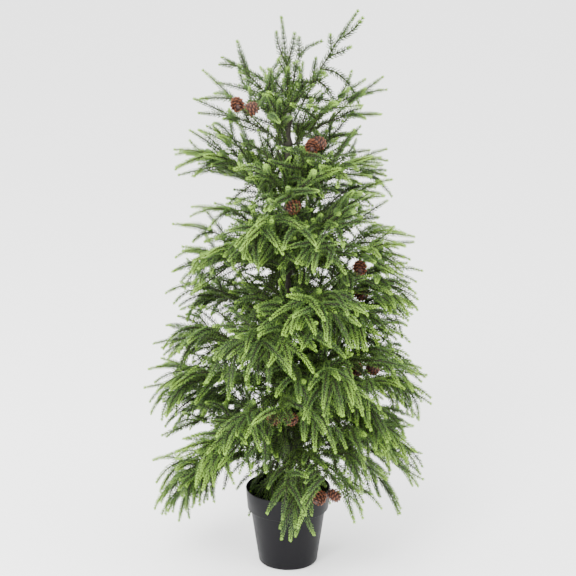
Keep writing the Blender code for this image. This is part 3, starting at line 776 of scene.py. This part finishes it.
def dress_twig(greenery, path, growth, rng, first_share, limit, pace):
    """Needles on a twig and fingers along it, ending in a fork of two or three."""
    finger, weep = growth["finger"], growth["weep"]
    along = lengths_along(path)
    total = along[-1]
    add_wood(greenery, path, TWIG_FOOT, TWIG_END, 0.2)
    twig_shade = shade_and_youth_at(path[len(path) // 2], limit)
    # Needles on a twig sit inside its spray; their lower youth is painted shade.
    add_needles(greenery, path, NEEDLE_LENGTH, lambda place: twig_shade * 0.6 + 0.10 * place, rng, taper=0.0)
    fresh = rng.choice(TWIG_YOUTHS)
    ahead, _, _ = frames_along(path)
    distance = total * first_share + rng.uniform(0.0, 0.5) * pace
    number = int(rng.integers(0, 2))
    while distance < total - BARE_END:
        at = np.array([np.interp(distance, along, path[:, k]) for k in range(3)])
        forward = unit(np.array([np.interp(distance, along, ahead[:, k]) for k in range(3)]))
        number += 1
        roll = (0.0 if number % 2 else math.pi) + rng.uniform(-1.0, 1.0)
        if number % 5 == 0:
            roll = math.pi / 2 * rng.choice([-1.0, 1.0, 1.0]) + rng.uniform(-0.4, 0.4)
        opening = math.radians(rng.uniform(*OPENING))
        length = finger * rng.uniform(0.70, 1.10)
        nudge = DOWN * weep * rng.uniform(0.25, 1.75) + forward * 0.45 + rng.normal(0, 0.30, 3)
        route = held_inside(walk(at, turned_from(forward, opening, roll), length, nudge), limit)
        if clear_of_cones(route) and shows_pot(route):
            age = shade_and_youth_at(route[-1], limit) + fresh + rng.uniform(-0.10, 0.10)
            add_finger(greenery, route, age, rng)
        distance += pace * rng.uniform(0.75, 1.25)
    for spread in THREE_FORK if rng.uniform() < FORK_SHARE else TWO_FORK:
        opening = abs(spread) + rng.uniform(0.0, 0.30)
        roll = (0.0 if spread < 0 else math.pi) + rng.uniform(-0.5, 0.5)
        nudge = DOWN * weep * rng.uniform(0.3, 1.6) + rng.normal(0, 0.25, 3)
        length = finger * rng.uniform(0.80, 1.15)
        route = held_inside(walk(path[-1], turned_from(ahead[-1], opening, roll), length, nudge), limit)
        if clear_of_cones(route) and shows_pot(route):
            age = shade_and_youth_at(route[-1], limit) + fresh + rng.uniform(-0.02, 0.12)
            add_finger(greenery, route, age, rng)


# %% Limb
TIERS = (0.05, 0.50, -0.50, 0.28, -0.80, 0.40, -0.20)  # slopes of the twigs, in turn
RAISED = {"branch_14": 0.024}  # bent up a little, so that the pot shows under it
LIMB_START, FIRST_TWIG = 0.016, 0.026  # from the trunk's axis
LIFT_LENGTH = 0.055  # over which an upper limb climbs to its place
SHORTER = 0.30  # how much narrower and flatter twigs are towards a limb's end


def grow_limb(greenery, arch, swing, lift, reach, twigs, half_sector, growth, rng):
    """A limb that follows the branch's arch, swung to one side of it and lifted above it."""
    finger, weep = growth["finger"], growth["weep"]
    limit = arch.reach * 1.045
    first, last = LIMB_START, reach - finger * 0.80

    def place(out, across, more):
        turned_out = out * math.cos(swing) - across * math.sin(swing)
        turned_across = out * math.sin(swing) + across * math.cos(swing)
        climbed = lift * (1.0 - np.exp(-(np.hypot(out, across) - first) / LIFT_LENGTH))
        return arch.place(turned_out, turned_across, climbed + more)

    axis = np.linspace(first, last, 14)
    dress_twig(greenery, place(axis, 0.0 * axis, 0.0), growth, rng, 0.15, limit, growth["limb_pace"])
    for number in range(twigs):
        share = (number + 0.3) / twigs
        out = FIRST_TWIG + (last - FIRST_TWIG) * share * 0.92
        turn = (1 if number % 2 else -1) * half_sector * rng.uniform(0.50, 0.98) * (1.0 - SHORTER * share)
        room = math.sqrt(max(reach**2 - (out * math.sin(turn)) ** 2, 0.0)) - out * math.cos(turn)
        slope = TIERS[number % len(TIERS)] + growth["climb"] + rng.uniform(-0.15, 0.15)
        slope *= 1.0 - SHORTER * share
        wood = (room - finger * 0.85) * rng.uniform(0.82, 1.0) / math.hypot(1.0, slope)
        d = np.linspace(0.0, max(0.014, wood * (1.0 - 0.18 * abs(slope))), 9)
        twig = place(out + d * math.cos(turn), d * math.sin(turn), d * slope - weep * 1.1 * d**2)
        dress_twig(greenery, twig, growth, rng, 0.12, limit, growth["pace"])


# %% Branch
SPRIG_START, SPRIG_STEP = 0.013, 0.002  # of the inner sprigs, from the trunk's axis
SPRIG_PACE = 0.024
SPRIG_STEEP = (56, 84)  # degrees from level


def grow_spray(name, growth):
    """The foliage of one branch: its two limbs, and short sprigs that hide the trunk beside it."""
    arch = arches[name]
    rng = np.random.default_rng(int(name[-2:]) * 7 + 3)
    greenery = Greenery()
    half_sector = math.pi / growth["count"]
    raised = RAISED.get(name, 0.0)
    grow_limb(greenery, arch, 0.0, raised, arch.reach, growth["twigs"], half_sector, growth, rng)
    swing = half_sector * rng.choice([-1.0, 1.0]) * rng.uniform(0.45, 0.75)
    reach = arch.reach * rng.uniform(0.93, 1.0)
    lift = growth["lift"] + raised
    grow_limb(greenery, arch, swing, lift, reach, growth["upper"], half_sector * 0.85, growth, rng)
    for number in range(growth["sprigs"]):
        start = arch.place(SPRIG_START + SPRIG_STEP * number)
        side = arch.heading + half_sector * rng.uniform(-0.9, 0.9)
        steep = math.radians(rng.uniform(*SPRIG_STEEP)) * (-0.9 if number % 3 == 1 else 1.0)
        level = math.cos(steep)
        way = np.array([level * math.cos(side), level * math.sin(side), math.sin(steep)])
        sprig = walk(start, way, growth["sprig"] * rng.uniform(0.6, 1.1), rng.normal(0, 0.2, 3))
        dress_twig(greenery, sprig, growth, rng, 0.3, arch.reach, SPRIG_PACE)
    return greenery


def finish_foliage(greenery, name, material):
    """The object of a grown spray: it rides on its branch and stands for the plain solid there."""
    mesh = greenery.mesh(f"{name}_needles")
    mesh.materials.append(material)
    made = bpy.data.objects.new(f"{name}_needles", mesh)
    bpy.context.scene.collection.objects.link(made)
    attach(made, name)
    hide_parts(f"{name}_foliage")
    return len(mesh.polygons)


# %% Grow the whorls
faces = 0
for whorl_number, whorl in enumerate(WHORLS):
    for number in range(whorl["count"]):
        name = branch_name(whorl_number, number)
        material = skirt_needles if whorl_number < 3 else crown_needles
        faces += finish_foliage(grow_spray(name, whorl), name, material)
    print("whorl", whorl_number + 1, "done,", faces, "faces so far")

# %% [markdown]
# ## The leaders
#
# Above the last whorl three leaders stand up: one straight on top of the pole, one that swings out to
# the right and is the tree's tip, and one that leans to the left. They are thin, so each finger shows,
# and each finger is listed one by one: where it leaves its leader, on which side, how wide it opens, how
# long it is and whether it curls up or hangs down.

# %% Leader helpers
LEADER_STOUT = 1.2  # how much stouter a leader's needles are


def side_finger(greenery, axis, share, roll, opening, length, curl, rng):
    """One finger off a leader. A positive curl turns it up, a negative one lets it hang."""
    along = lengths_along(axis)
    ahead, _, _ = frames_along(axis)
    at = np.array([np.interp(share * along[-1], along, axis[:, k]) for k in range(3)])
    forward = unit(np.array([np.interp(share * along[-1], along, ahead[:, k]) for k in range(3)]))
    start = turned_from(forward, math.radians(opening), math.radians(roll))
    route = walk(at, start, length, rng.normal(0, 0.05, 3) - DOWN * curl)
    if clear_of_cones(route):
        add_finger(greenery, route, 0.20 + rng.uniform(-0.08, 0.16), rng, LEADER_STOUT)


def rounded(line):
    """The same line with its corners cut twice."""
    for _ in range(2):
        cuts = np.stack([0.75 * line[:-1] + 0.25 * line[1:], 0.25 * line[:-1] + 0.75 * line[1:]], 1)
        line = np.concatenate([line[:1], cuts.reshape(-1, 3), line[-1:]])
    return line


def grow_leader(axes, seed):
    """A leader from its axes, each with its own side fingers."""
    greenery = Greenery()
    rng = np.random.default_rng(seed)
    for axis, fingers in axes:
        add_finger(greenery, axis, 0.12, rng, LEADER_STOUT)
        for finger in fingers:
            side_finger(greenery, axis, *finger, rng)
    return greenery


# %% Leader tables
# share of the leader, roll, opening, length, curl
RIGHT_FINGERS = (
    (0.72, -90, 36, 0.048, 0.8), (0.60, 90, 34, 0.024, 0.3), (0.54, -90, 40, 0.037, 0.2),
    (0.42, -90, 50, 0.086, -2.1), (0.34, 175, 50, 0.044, -0.5), (0.32, -80, 84, 0.052, -1.3),
    (0.28, 95, 92, 0.034, -1.0), (0.24, 10, 52, 0.052, 0.4), (0.14, -120, 60, 0.055, -0.3),
    (0.12, 60, 40, 0.050, 0.5),
)
LEFT_FINGERS = (
    (0.62, 90, 30, 0.052, 0.3), (0.80, -90, 22, 0.024, -0.2), (0.60, 150, 32, 0.036, 0.2),
    (0.36, -90, 22, 0.030, 0.0), (0.30, 0, 66, 0.036, -1.5), (0.18, -90, 42, 0.075, -1.4),
    (0.24, 60, 50, 0.046, 0.6), (0.16, 170, 48, 0.048, 0.2), (0.10, -40, 60, 0.050, -0.4),
)
CENTRE_FINGERS = (
    (0.52, 178, 30, 0.050, 1.5), (0.50, -4, 32, 0.050, 1.6), (0.40, 190, 28, 0.026, 0.2),
    (0.30, 80, 44, 0.044, 0.4), (0.26, -85, 42, 0.042, 0.3), (0.16, 150, 46, 0.052, 0.4),
    (0.12, -40, 44, 0.048, 0.6), (0.06, 40, 52, 0.050, 0.2), (0.05, -130, 54, 0.052, 0.0),
)
SPRIG_FINGERS = ((0.66, 100, 26, 0.030, 0.6), (0.46, -90, 26, 0.020, 0.3))
SPRIG_LINE = (
    (0.000, 0.000, 0.008), (0.006, -0.004, 0.026), (0.009, -0.006, 0.056),
    (0.014, -0.006, 0.084), (0.026, -0.004, 0.103), (0.050, 0.000, 0.112),
)
CENTRE_HEIGHT = 0.146
print("fingers on the leaders:", len(RIGHT_FINGERS) + len(LEFT_FINGERS) + len(CENTRE_FINGERS + SPRIG_FINGERS))

# %% Leaders
pole_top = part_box("trunk_pole")[1].z
right = arches["leader_right"]
left = arches["leader_left"]
right_axis = right.place(np.linspace(0.016, right.reach - 0.002, 12))
left_axis = left.place(np.linspace(0.016, left.reach, 12))
rise = np.linspace(0.0, 1.0, 10)
centre_axis = np.stack([-0.010 * rise**2, 0.0 * rise, pole_top + 0.002 + CENTRE_HEIGHT * rise], -1)
sprig_axis = rounded(np.array(SPRIG_LINE) + [0.0, 0.0, pole_top])
right_leader = grow_leader([(right_axis, RIGHT_FINGERS)], 5)
left_leader = grow_leader([(left_axis, LEFT_FINGERS)], 6)
centre_leader = grow_leader([(centre_axis, CENTRE_FINGERS), (sprig_axis, SPRIG_FINGERS)], 7)
finish_foliage(right_leader, "leader_right", crown_needles)
finish_foliage(left_leader, "leader_left", crown_needles)
finish_foliage(centre_leader, "leader_centre", crown_needles)
print("leaders done")

# %% [markdown]
# ## Cones
#
# The cones are small and dry: reddish brown scales in a spiral, each one thicker and paler at its rim.
# A scale is a little curved plate. Golden-angle placing gives the crossed spirals of a real cone, and
# the scales open more towards the cone's base.

# %% Cone shape
CONE_LENGTH = 0.0235
CONE_RADIUS = 0.0100
CONE_SCALES = 46
SCALE_ROWS, SCALE_COLUMNS = 4, 5
CORE_SHARE = 0.62  # of the cone's radius
CORE_RINGS, CORE_SIDES = 7, 12
GOLDEN_TURN = math.pi * (3 - math.sqrt(5))


def scale_shape():
    """One scale lying along +X: a thick spoon-shaped plate as points and faces."""
    points, quads = [], []
    for depth in (0.0, -0.12):
        for i in range(SCALE_ROWS):
            t = i / (SCALE_ROWS - 1)
            half = (0.20, 0.40, 0.52, 0.34)[i]
            for j in range(SCALE_COLUMNS):
                s = 2 * j / (SCALE_COLUMNS - 1) - 1
                hollow = 0.16 * (s * s - 0.5) * t - 0.10 * t**3
                points.append((t - 0.12 * t * s * s, s * half, hollow + depth))
    count = SCALE_ROWS * SCALE_COLUMNS
    for i in range(SCALE_ROWS - 1):
        for j in range(SCALE_COLUMNS - 1):
            a = i * SCALE_COLUMNS + j
            b = a + SCALE_COLUMNS
            quads += [(a, b, b + 1, a + 1), (count + a, count + a + 1, count + b + 1, count + b)]
    rim = [i * SCALE_COLUMNS for i in range(SCALE_ROWS)]
    rim += [(SCALE_ROWS - 1) * SCALE_COLUMNS + j for j in range(1, SCALE_COLUMNS)]
    rim += [i * SCALE_COLUMNS + SCALE_COLUMNS - 1 for i in range(SCALE_ROWS - 2, -1, -1)]
    rim += list(range(SCALE_COLUMNS - 2, 0, -1))
    quads += [(b, a, count + a, count + b) for a, b in zip(rim, rim[1:] + rim[:1])]
    return np.array(points), quads


SCALE_POINTS, SCALE_QUADS = scale_shape()
print("a scale has", len(SCALE_POINTS), "points")

# %% Cone core


def core_shape():
    """The woody middle that the scales stand on: a closed egg along +Z."""
    points, faces = [(0.0, 0.0, -CONE_LENGTH / 2)], []
    for i in range(1, CORE_RINGS):
        angle = math.pi * i / CORE_RINGS
        radius = CONE_RADIUS * CORE_SHARE * math.sin(angle)
        for j in range(CORE_SIDES):
            turn = 2 * math.pi * j / CORE_SIDES
            level = -CONE_LENGTH / 2 * math.cos(angle)
            points.append((radius * math.cos(turn), radius * math.sin(turn), level))
    points.append((0.0, 0.0, CONE_LENGTH / 2 * 0.94))
    last = 1 + (CORE_RINGS - 2) * CORE_SIDES
    for j in range(CORE_SIDES):
        k = (j + 1) % CORE_SIDES
        faces += [(0, 1 + k, 1 + j), (len(points) - 1, last + j, last + k)]
        for i in range(CORE_RINGS - 2):
            a = 1 + i * CORE_SIDES
            faces.append((a + j, a + k, a + CORE_SIDES + k, a + CORE_SIDES + j))
    return points, faces


def cone_shape():
    """One cone along +Z, from its wire to its tip: points, faces and the place on each scale."""
    points, faces = core_shape()
    rims = [0.0] * len(points)
    for number in range(CONE_SCALES):
        share = (number + 0.5) / CONE_SCALES
        level = CONE_LENGTH * (0.88 * share - 0.50)
        girth = math.sqrt(1.0 - (2.0 * share - 1.0) ** 2 * 0.92)
        size = CONE_RADIUS * (0.34 + 0.34 * girth)
        lift = math.radians(18 + 62 * share**1.3)
        out = CONE_RADIUS * girth - size * math.cos(lift) * 0.95
        base = Vector((out, 0.0, level - size * math.sin(lift) * 0.3))
        tilt = Matrix.Rotation(-lift, 3, "Y")
        spin = Matrix.Rotation(number * GOLDEN_TURN, 3, "Z")
        first = len(points)
        points += [tuple(spin @ (tilt @ Vector(p * size) + base)) for p in SCALE_POINTS]
        faces += [tuple(first + corner for corner in quad) for quad in SCALE_QUADS]
        rims += np.clip(SCALE_POINTS[:, 0], 0.0, 1.0).tolist()
    return points, faces, rims


CONE_POINTS, CONE_FACES, CONE_RIMS = cone_shape()
print("a cone has", len(CONE_FACES), "faces")

# %% [markdown]
# ## Cone finish
#
# The colour runs along each scale from a dark foot to a tan rim; the tan rim is the scale's own, and
# the dark foot is partly painted shade under the scale that covers it. A point attribute carries the
# place along the scale, so the shader needs no picture. Uneven tone and fine grain add the dryness.

# %% Cone material
cone_finish, tree, shader = start_material("dry cone scales", roughness=0.62)
place = add_node(tree, "ShaderNodeTexCoord")
tone = add_tone(tree, place, (0.030, 0.007, 0.004), (0.010, 0.004, 0.002), 160.0, 0.7)
add_grain(tree, place, shader, 1500.0, 0.3, 0.5, 0.0003)
# The dark foot of a scale is partly painted shade where the next scale covers it.
rim_place = add_node(tree, "ShaderNodeAttribute", {"attribute_name": "rim"})
rim_mask = add_node(tree, "ShaderNodeMapRange", None, {"From Min": 0.62, "From Max": 0.98})
rim_mix = add_node(tree, "ShaderNodeMix", {"data_type": "RGBA"})
rim_mix.inputs["B"].default_value = (0.19, 0.058, 0.019, 1.0)
wire(
    tree,
    (rim_place, "Fac", rim_mask, "Value"),
    (rim_mask, "Result", rim_mix, "Factor"),
    (tone, "Colour", rim_mix, "A"),
    (rim_mix, "Result", shader, "Base Color"),
)
print("material", cone_finish.name)

# %% [markdown]
# ## Hanging the cones
#
# Each pick becomes one mesh that rides on its branch and stands for the plain turned shapes there.

# %% Cones
CONE_DROOP = math.radians(118)  # of a cone's tip from straight up
for pick_number, pick in enumerate(PICKS, start=1):
    arch = arches[pick["branch"]]
    points, faces, rims = [], [], []
    for i, centre in enumerate(cone_centres(pick)):
        skew = math.radians(68 if i else -62)
        turn = Matrix.Rotation(arch.heading + skew, 3, "Z") @ Matrix.Rotation(CONE_DROOP, 3, "Y")
        first = len(points)
        points += [tuple(turn @ Vector(p) + Vector(centre)) for p in CONE_POINTS]
        faces += [tuple(first + corner for corner in face) for face in CONE_FACES]
        rims += CONE_RIMS
    cone_mesh = bpy.data.meshes.new(f"cones_{pick_number}")
    cone_mesh.from_pydata(points, [], faces)
    cone_mesh.attributes.new("rim", "FLOAT", "POINT").data.foreach_set("value", rims)
    cone_mesh.shade_smooth()
    cone_mesh.materials.append(cone_finish)
    cones = bpy.data.objects.new(f"cones_{pick_number}", cone_mesh)
    bpy.context.scene.collection.objects.link(cones)
    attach(cones, pick["branch"])
    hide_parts(f"cone_pick_{pick_number}")
print("picks:", len(PICKS), "with", sum(pick["cones"] for pick in PICKS), "cones")

# %% [markdown]
# ## The pot's plastic
#
# The pot is blown or injected from charcoal plastic with a soft satin sheen. Handling leaves faint
# cloudy marks, so its roughness wanders as well as its colour, and a very fine grain dulls the light.

# %% Pot material
pot_plastic, tree, shader = start_material("charcoal pot plastic", roughness=0.42)
shader.inputs["Specular IOR Level"].default_value = 0.13
place = add_node(tree, "ShaderNodeTexCoord")
tone = add_tone(tree, place, (0.0022, 0.0020, 0.0030), (0.0038, 0.0035, 0.0046), 22.0, 0.6)
add_grain(tree, place, shader, 1400.0, 0.25, 0.25, 0.0002)
satin = add_node(tree, "ShaderNodeMapRange", None, {"To Min": 0.40, "To Max": 0.52})
wire(
    tree,
    (tone, "Colour", shader, "Base Color"),
    (tone, "Mask", satin, "Value"),
    (satin, "Result", shader, "Roughness"),
)
print("material", pot_plastic.name)

# %% [markdown]
# ## Cement, rod, tape and wrapped wire
#
# The cement in the pot is rough and blotchy. The rod is dull steel with faint streaks along it. The
# trunk is wound with brown tape, painted darker than its own colour as shade inside the tree, and each
# stem with dark green tape; both use the wound tape group.

# %% Cement and rod
cement, tree, shader = start_material("rough cement", roughness=0.9)
place = add_node(tree, "ShaderNodeTexCoord")
tone = add_tone(tree, place, (0.20, 0.19, 0.175), (0.10, 0.095, 0.09), 70.0, 0.9)
add_grain(tree, place, shader, 500.0, 0.5, 0.9, 0.0015)
wire(tree, (tone, "Colour", shader, "Base Color"))

rod_steel, tree, shader = start_material("dull rod steel", roughness=0.42, metallic=0.9)
place = add_node(tree, "ShaderNodeTexCoord")
stretch = add_node(tree, "ShaderNodeMapping", None, {"Scale": (1.0, 1.0, 0.06)})
tone = add_tone(tree, stretch, (0.30, 0.30, 0.29), (0.16, 0.13, 0.10), 700.0, 0.7, out="Vector")
wire(tree, (place, "Object", stretch, "Vector"), (tone, "Colour", shader, "Base Color"))
print("materials", cement.name, "and", rod_steel.name)

# %% Where tape runs


def tape_round_pole(tree, split, wound):
    """Tape on the pole: its height is the way along, its angle the way round."""
    angle = add_node(tree, "ShaderNodeMath", {"operation": "ARCTAN2"})
    share = add_node(tree, "ShaderNodeMath", {"operation": "MULTIPLY"}, {1: 0.5 / math.pi})
    wire(
        tree,
        (split, "Y", angle, 0),
        (split, "X", angle, 1),
        (angle, "Value", share, 0),
        (share, "Value", wound, "Around"),
        (split, "Z", wound, "Along"),
    )


def tape_round_stem(tree, split, wound):
    """Tape on a stem: its distance from the trunk is the way along."""
    level = add_node(tree, "ShaderNodeMath", {"operation": "MULTIPLY"}, {1: 120.0})
    flat = add_node(tree, "ShaderNodeCombineXYZ")
    distance = add_node(tree, "ShaderNodeVectorMath", {"operation": "LENGTH"})
    wire(
        tree,
        (split, "X", flat, "X"),
        (split, "Y", flat, "Y"),
        (flat, "Vector", distance, 0),
        (distance, "Value", wound, "Along"),
        (split, "Z", level, 0),
        (level, "Value", wound, "Around"),
    )


print("tape helpers ready")

# %% Tapes


def tape_material(name, colour, other, turns, run):
    """Wound tape in two colours, with the dark edge of each turn."""
    made, tree, shader = start_material(name, roughness=0.72)
    place = add_node(tree, "ShaderNodeTexCoord")
    split = add_node(tree, "ShaderNodeSeparateXYZ")
    wound = place_group(tree, wound_tape, {"Turns Per Metre": turns})
    run(tree, split, wound)
    tone = add_tone(tree, place, colour, other, 90.0, 0.8)
    edge_mix = add_node(tree, "ShaderNodeMix", {"data_type": "RGBA"})
    edge_mix.inputs["B"].default_value = opaque([0.35 * share for share in colour])
    bump = add_node(tree, "ShaderNodeBump", None, {"Strength": 0.8, "Distance": 0.0006})
    wire(
        tree,
        (place, "Object", split, "Vector"),
        (wound, "Edge", edge_mix, "Factor"),
        (tone, "Colour", edge_mix, "A"),
        (edge_mix, "Result", shader, "Base Color"),
        (wound, "Height", bump, "Height"),
        (bump, "Normal", shader, "Normal"),
    )
    return made


# The trunk's browns are darker than the tape's own colour: painted shade, for the trunk stands in the tree's
# shade.
BROWNS_IN_SHADE = ((0.026, 0.020, 0.011), (0.012, 0.013, 0.007))
GREENS = ((0.030, 0.052, 0.022), (0.045, 0.036, 0.018))
trunk_tape = tape_material("brown trunk tape in painted shade", *BROWNS_IN_SHADE, 110.0, tape_round_pole)
stem_tape = tape_material("green stem tape", *GREENS, 260.0, tape_round_stem)
print("materials", trunk_tape.name, "and", stem_tape.name)

# %% [markdown]
# ## The pot itself
#
# The real pot is one thin shell of plastic: a tapered body, a step out to a rim band, and a rolled lip.
# It is turned on a lathe with many steps here, so its wall is round and its sheen runs without facets.
# The drain holes are cut by a boolean. The shape is the frame's own, so it stands for the frame's pot.

# %% Pot profile
POT_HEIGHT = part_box("pot")[1].z
LIP_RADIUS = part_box("pot")[1].x
BAND_FOOT = POT_HEIGHT - 0.035
WALL = 0.002
FLOOR = 0.003
LIP_ROUND = 0.0009
BODY_TOP, BODY_FOOT = 0.0610, 0.0480  # outer radii of the tapered body
BAND_RADIUS = 0.0660
HEEL_ROUND = 0.005


def quarter(radius, height, size, first, last, steps):
    """Points of a rounded corner, from one angle to another."""
    angles = np.radians(np.linspace(first, last, steps))
    return [(radius + size * math.cos(a), height + size * math.sin(a)) for a in angles]


inside_foot = BODY_FOOT + (BODY_TOP - BODY_FOOT) * (FLOOR + WALL) / BAND_FOOT - WALL
profile = [(0.0, FLOOR), (inside_foot - WALL, FLOOR), (inside_foot, FLOOR + WALL)]
profile += [(BODY_TOP - WALL, BAND_FOOT), (BAND_RADIUS - WALL, BAND_FOOT + WALL)]
profile += quarter(LIP_RADIUS - WALL + LIP_ROUND, POT_HEIGHT - LIP_ROUND, LIP_ROUND, 180, 90, 4)
profile += quarter(LIP_RADIUS - LIP_ROUND, POT_HEIGHT - LIP_ROUND, LIP_ROUND, 90, 0, 4)
profile += quarter(BAND_RADIUS - LIP_ROUND, BAND_FOOT + LIP_ROUND, LIP_ROUND, 0, -90, 4)
profile += [(BODY_TOP + 0.0006, BAND_FOOT), (BODY_TOP, BAND_FOOT - 0.0006)]
profile += quarter(BODY_FOOT - HEEL_ROUND, HEEL_ROUND, HEEL_ROUND, 0, -90, 8) + [(0.0, 0.0)]
print("pot profile of", len(profile), "points, height", round(POT_HEIGHT, 4))

# %% Turned pot
LATHE_STEPS = 120
DRAIN_HOLES, DRAIN_CIRCLE, DRAIN_RADIUS, DRAIN_STEPS = 5, 0.030, 0.004, 24

shape = bmesh.new()
line = [shape.verts.new((radius, 0.0, height)) for radius, height in profile]
edges = [shape.edges.new(pair) for pair in zip(line, line[1:])]
bmesh.ops.spin(
    shape, geom=line + edges, cent=(0, 0, 0), axis=(0, 0, 1),
    angle=2 * math.pi, steps=LATHE_STEPS, use_merge=True,
)
bmesh.ops.remove_doubles(shape, verts=shape.verts, dist=1e-6)
bmesh.ops.recalc_face_normals(shape, faces=shape.faces)
shell = bpy.data.meshes.new("pot_blank")
shape.to_mesh(shell)
shape.clear()
for number in range(DRAIN_HOLES):
    turn = 2 * math.pi * number / DRAIN_HOLES
    at = Matrix.Translation((DRAIN_CIRCLE * math.cos(turn), DRAIN_CIRCLE * math.sin(turn), FLOOR / 2))
    bmesh.ops.create_cone(
        shape, cap_ends=True, segments=DRAIN_STEPS, radius1=DRAIN_RADIUS, radius2=DRAIN_RADIUS,
        depth=3 * FLOOR, matrix=at,
    )
drills = bpy.data.meshes.new("drain_drills")
shape.to_mesh(drills)
shape.free()
print("drills:", DRAIN_HOLES)

# %% Drilled pot
blank = bpy.data.objects.new("pot_blank", shell)
cutter = bpy.data.objects.new("drain_drills", drills)
for one in (blank, cutter):
    bpy.context.scene.collection.objects.link(one)
cut = blank.modifiers.new("drain holes", "BOOLEAN")
cut.operation = "DIFFERENCE"
cut.object = cutter
bpy.context.view_layer.update()
pot_mesh = bpy.data.meshes.new_from_object(blank.evaluated_get(bpy.context.evaluated_depsgraph_get()))
pot_mesh.name = "moulded_pot"
for one in (blank, cutter):
    bpy.data.objects.remove(one)
pot_mesh.shade_smooth()
pot_mesh.set_sharp_from_angle(angle=math.radians(32))
pot_mesh.materials.clear()
pot_mesh.materials.append(pot_plastic)
moulded_pot = bpy.data.objects.new("moulded_pot", pot_mesh)
bpy.context.scene.collection.objects.link(moulded_pot)
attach(moulded_pot, "stand")
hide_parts("pot")
print("pot of", len(pot_mesh.polygons), "faces")

# %% Dress the kept pieces


def finish_node(name, material):
    """Gives a kept piece of the frame its finish."""
    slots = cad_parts[name].material_slots
    for one in slots:
        one.material = material
    return len(slots)


finish_node("cement_ballast", cement)
finish_node("trunk_pole", rod_steel)
finish_node("trunk_tape_wrap", trunk_tape)
stems = [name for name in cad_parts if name.endswith("_stem")]
for name in stems:
    finish_node(name, stem_tape)
print("kept pieces finished:", 3 + len(stems))

# %% [markdown]
# ## The studio
#
# A pale floor under even soft light: a wide panel above and in front, a weaker one on each side, and a
# bright surround. The panels are large, so the pot's edges carry broad, soft highlights.

# %% Floor and lights
floor_mesh = bpy.data.meshes.new("floor")
floor_mesh.from_pydata([(-6, -6, 0), (6, -6, 0), (6, 6, 0), (-6, 6, 0)], [], [(0, 1, 2, 3)])
floor = bpy.data.objects.new("floor", floor_mesh)
bpy.context.scene.collection.objects.link(floor)
floor_paint, tree, shader = start_material("pale floor", roughness=0.85)
shader.inputs["Base Color"].default_value = (0.93, 0.93, 0.93, 1.0)
floor_mesh.materials.append(floor_paint)

world = bpy.data.worlds.new("studio")
world.use_nodes = True
world.node_tree.nodes["Background"].inputs["Color"].default_value = (1.0, 1.0, 1.0, 1.0)
world.node_tree.nodes["Background"].inputs["Strength"].default_value = 3.0
bpy.context.scene.world = world


def add_panel(name, location, size, power):
    """A square light panel that faces the middle of the tree."""
    light = bpy.data.lights.new(name, "AREA")
    light.size = size
    light.energy = power
    made = bpy.data.objects.new(name, light)
    made.location = location
    aim = Vector((0.0, 0.0, AIM_HEIGHT)) - Vector(location)
    made.rotation_euler = aim.to_track_quat("-Z", "Y").to_euler()
    bpy.context.scene.collection.objects.link(made)
    return made


add_panel("front panel", (-0.9, -2.6, 2.5), 1.5, 230)
add_panel("left panel", (-2.4, -0.4, 1.3), 1.2, 60)
add_panel("right panel", (2.4, -0.8, 1.2), 1.2, 40)

# %% [markdown]
# ## Last update
#
# The scene is brought up to date once the tree is dressed.

# %% Update
bpy.context.view_layer.update()
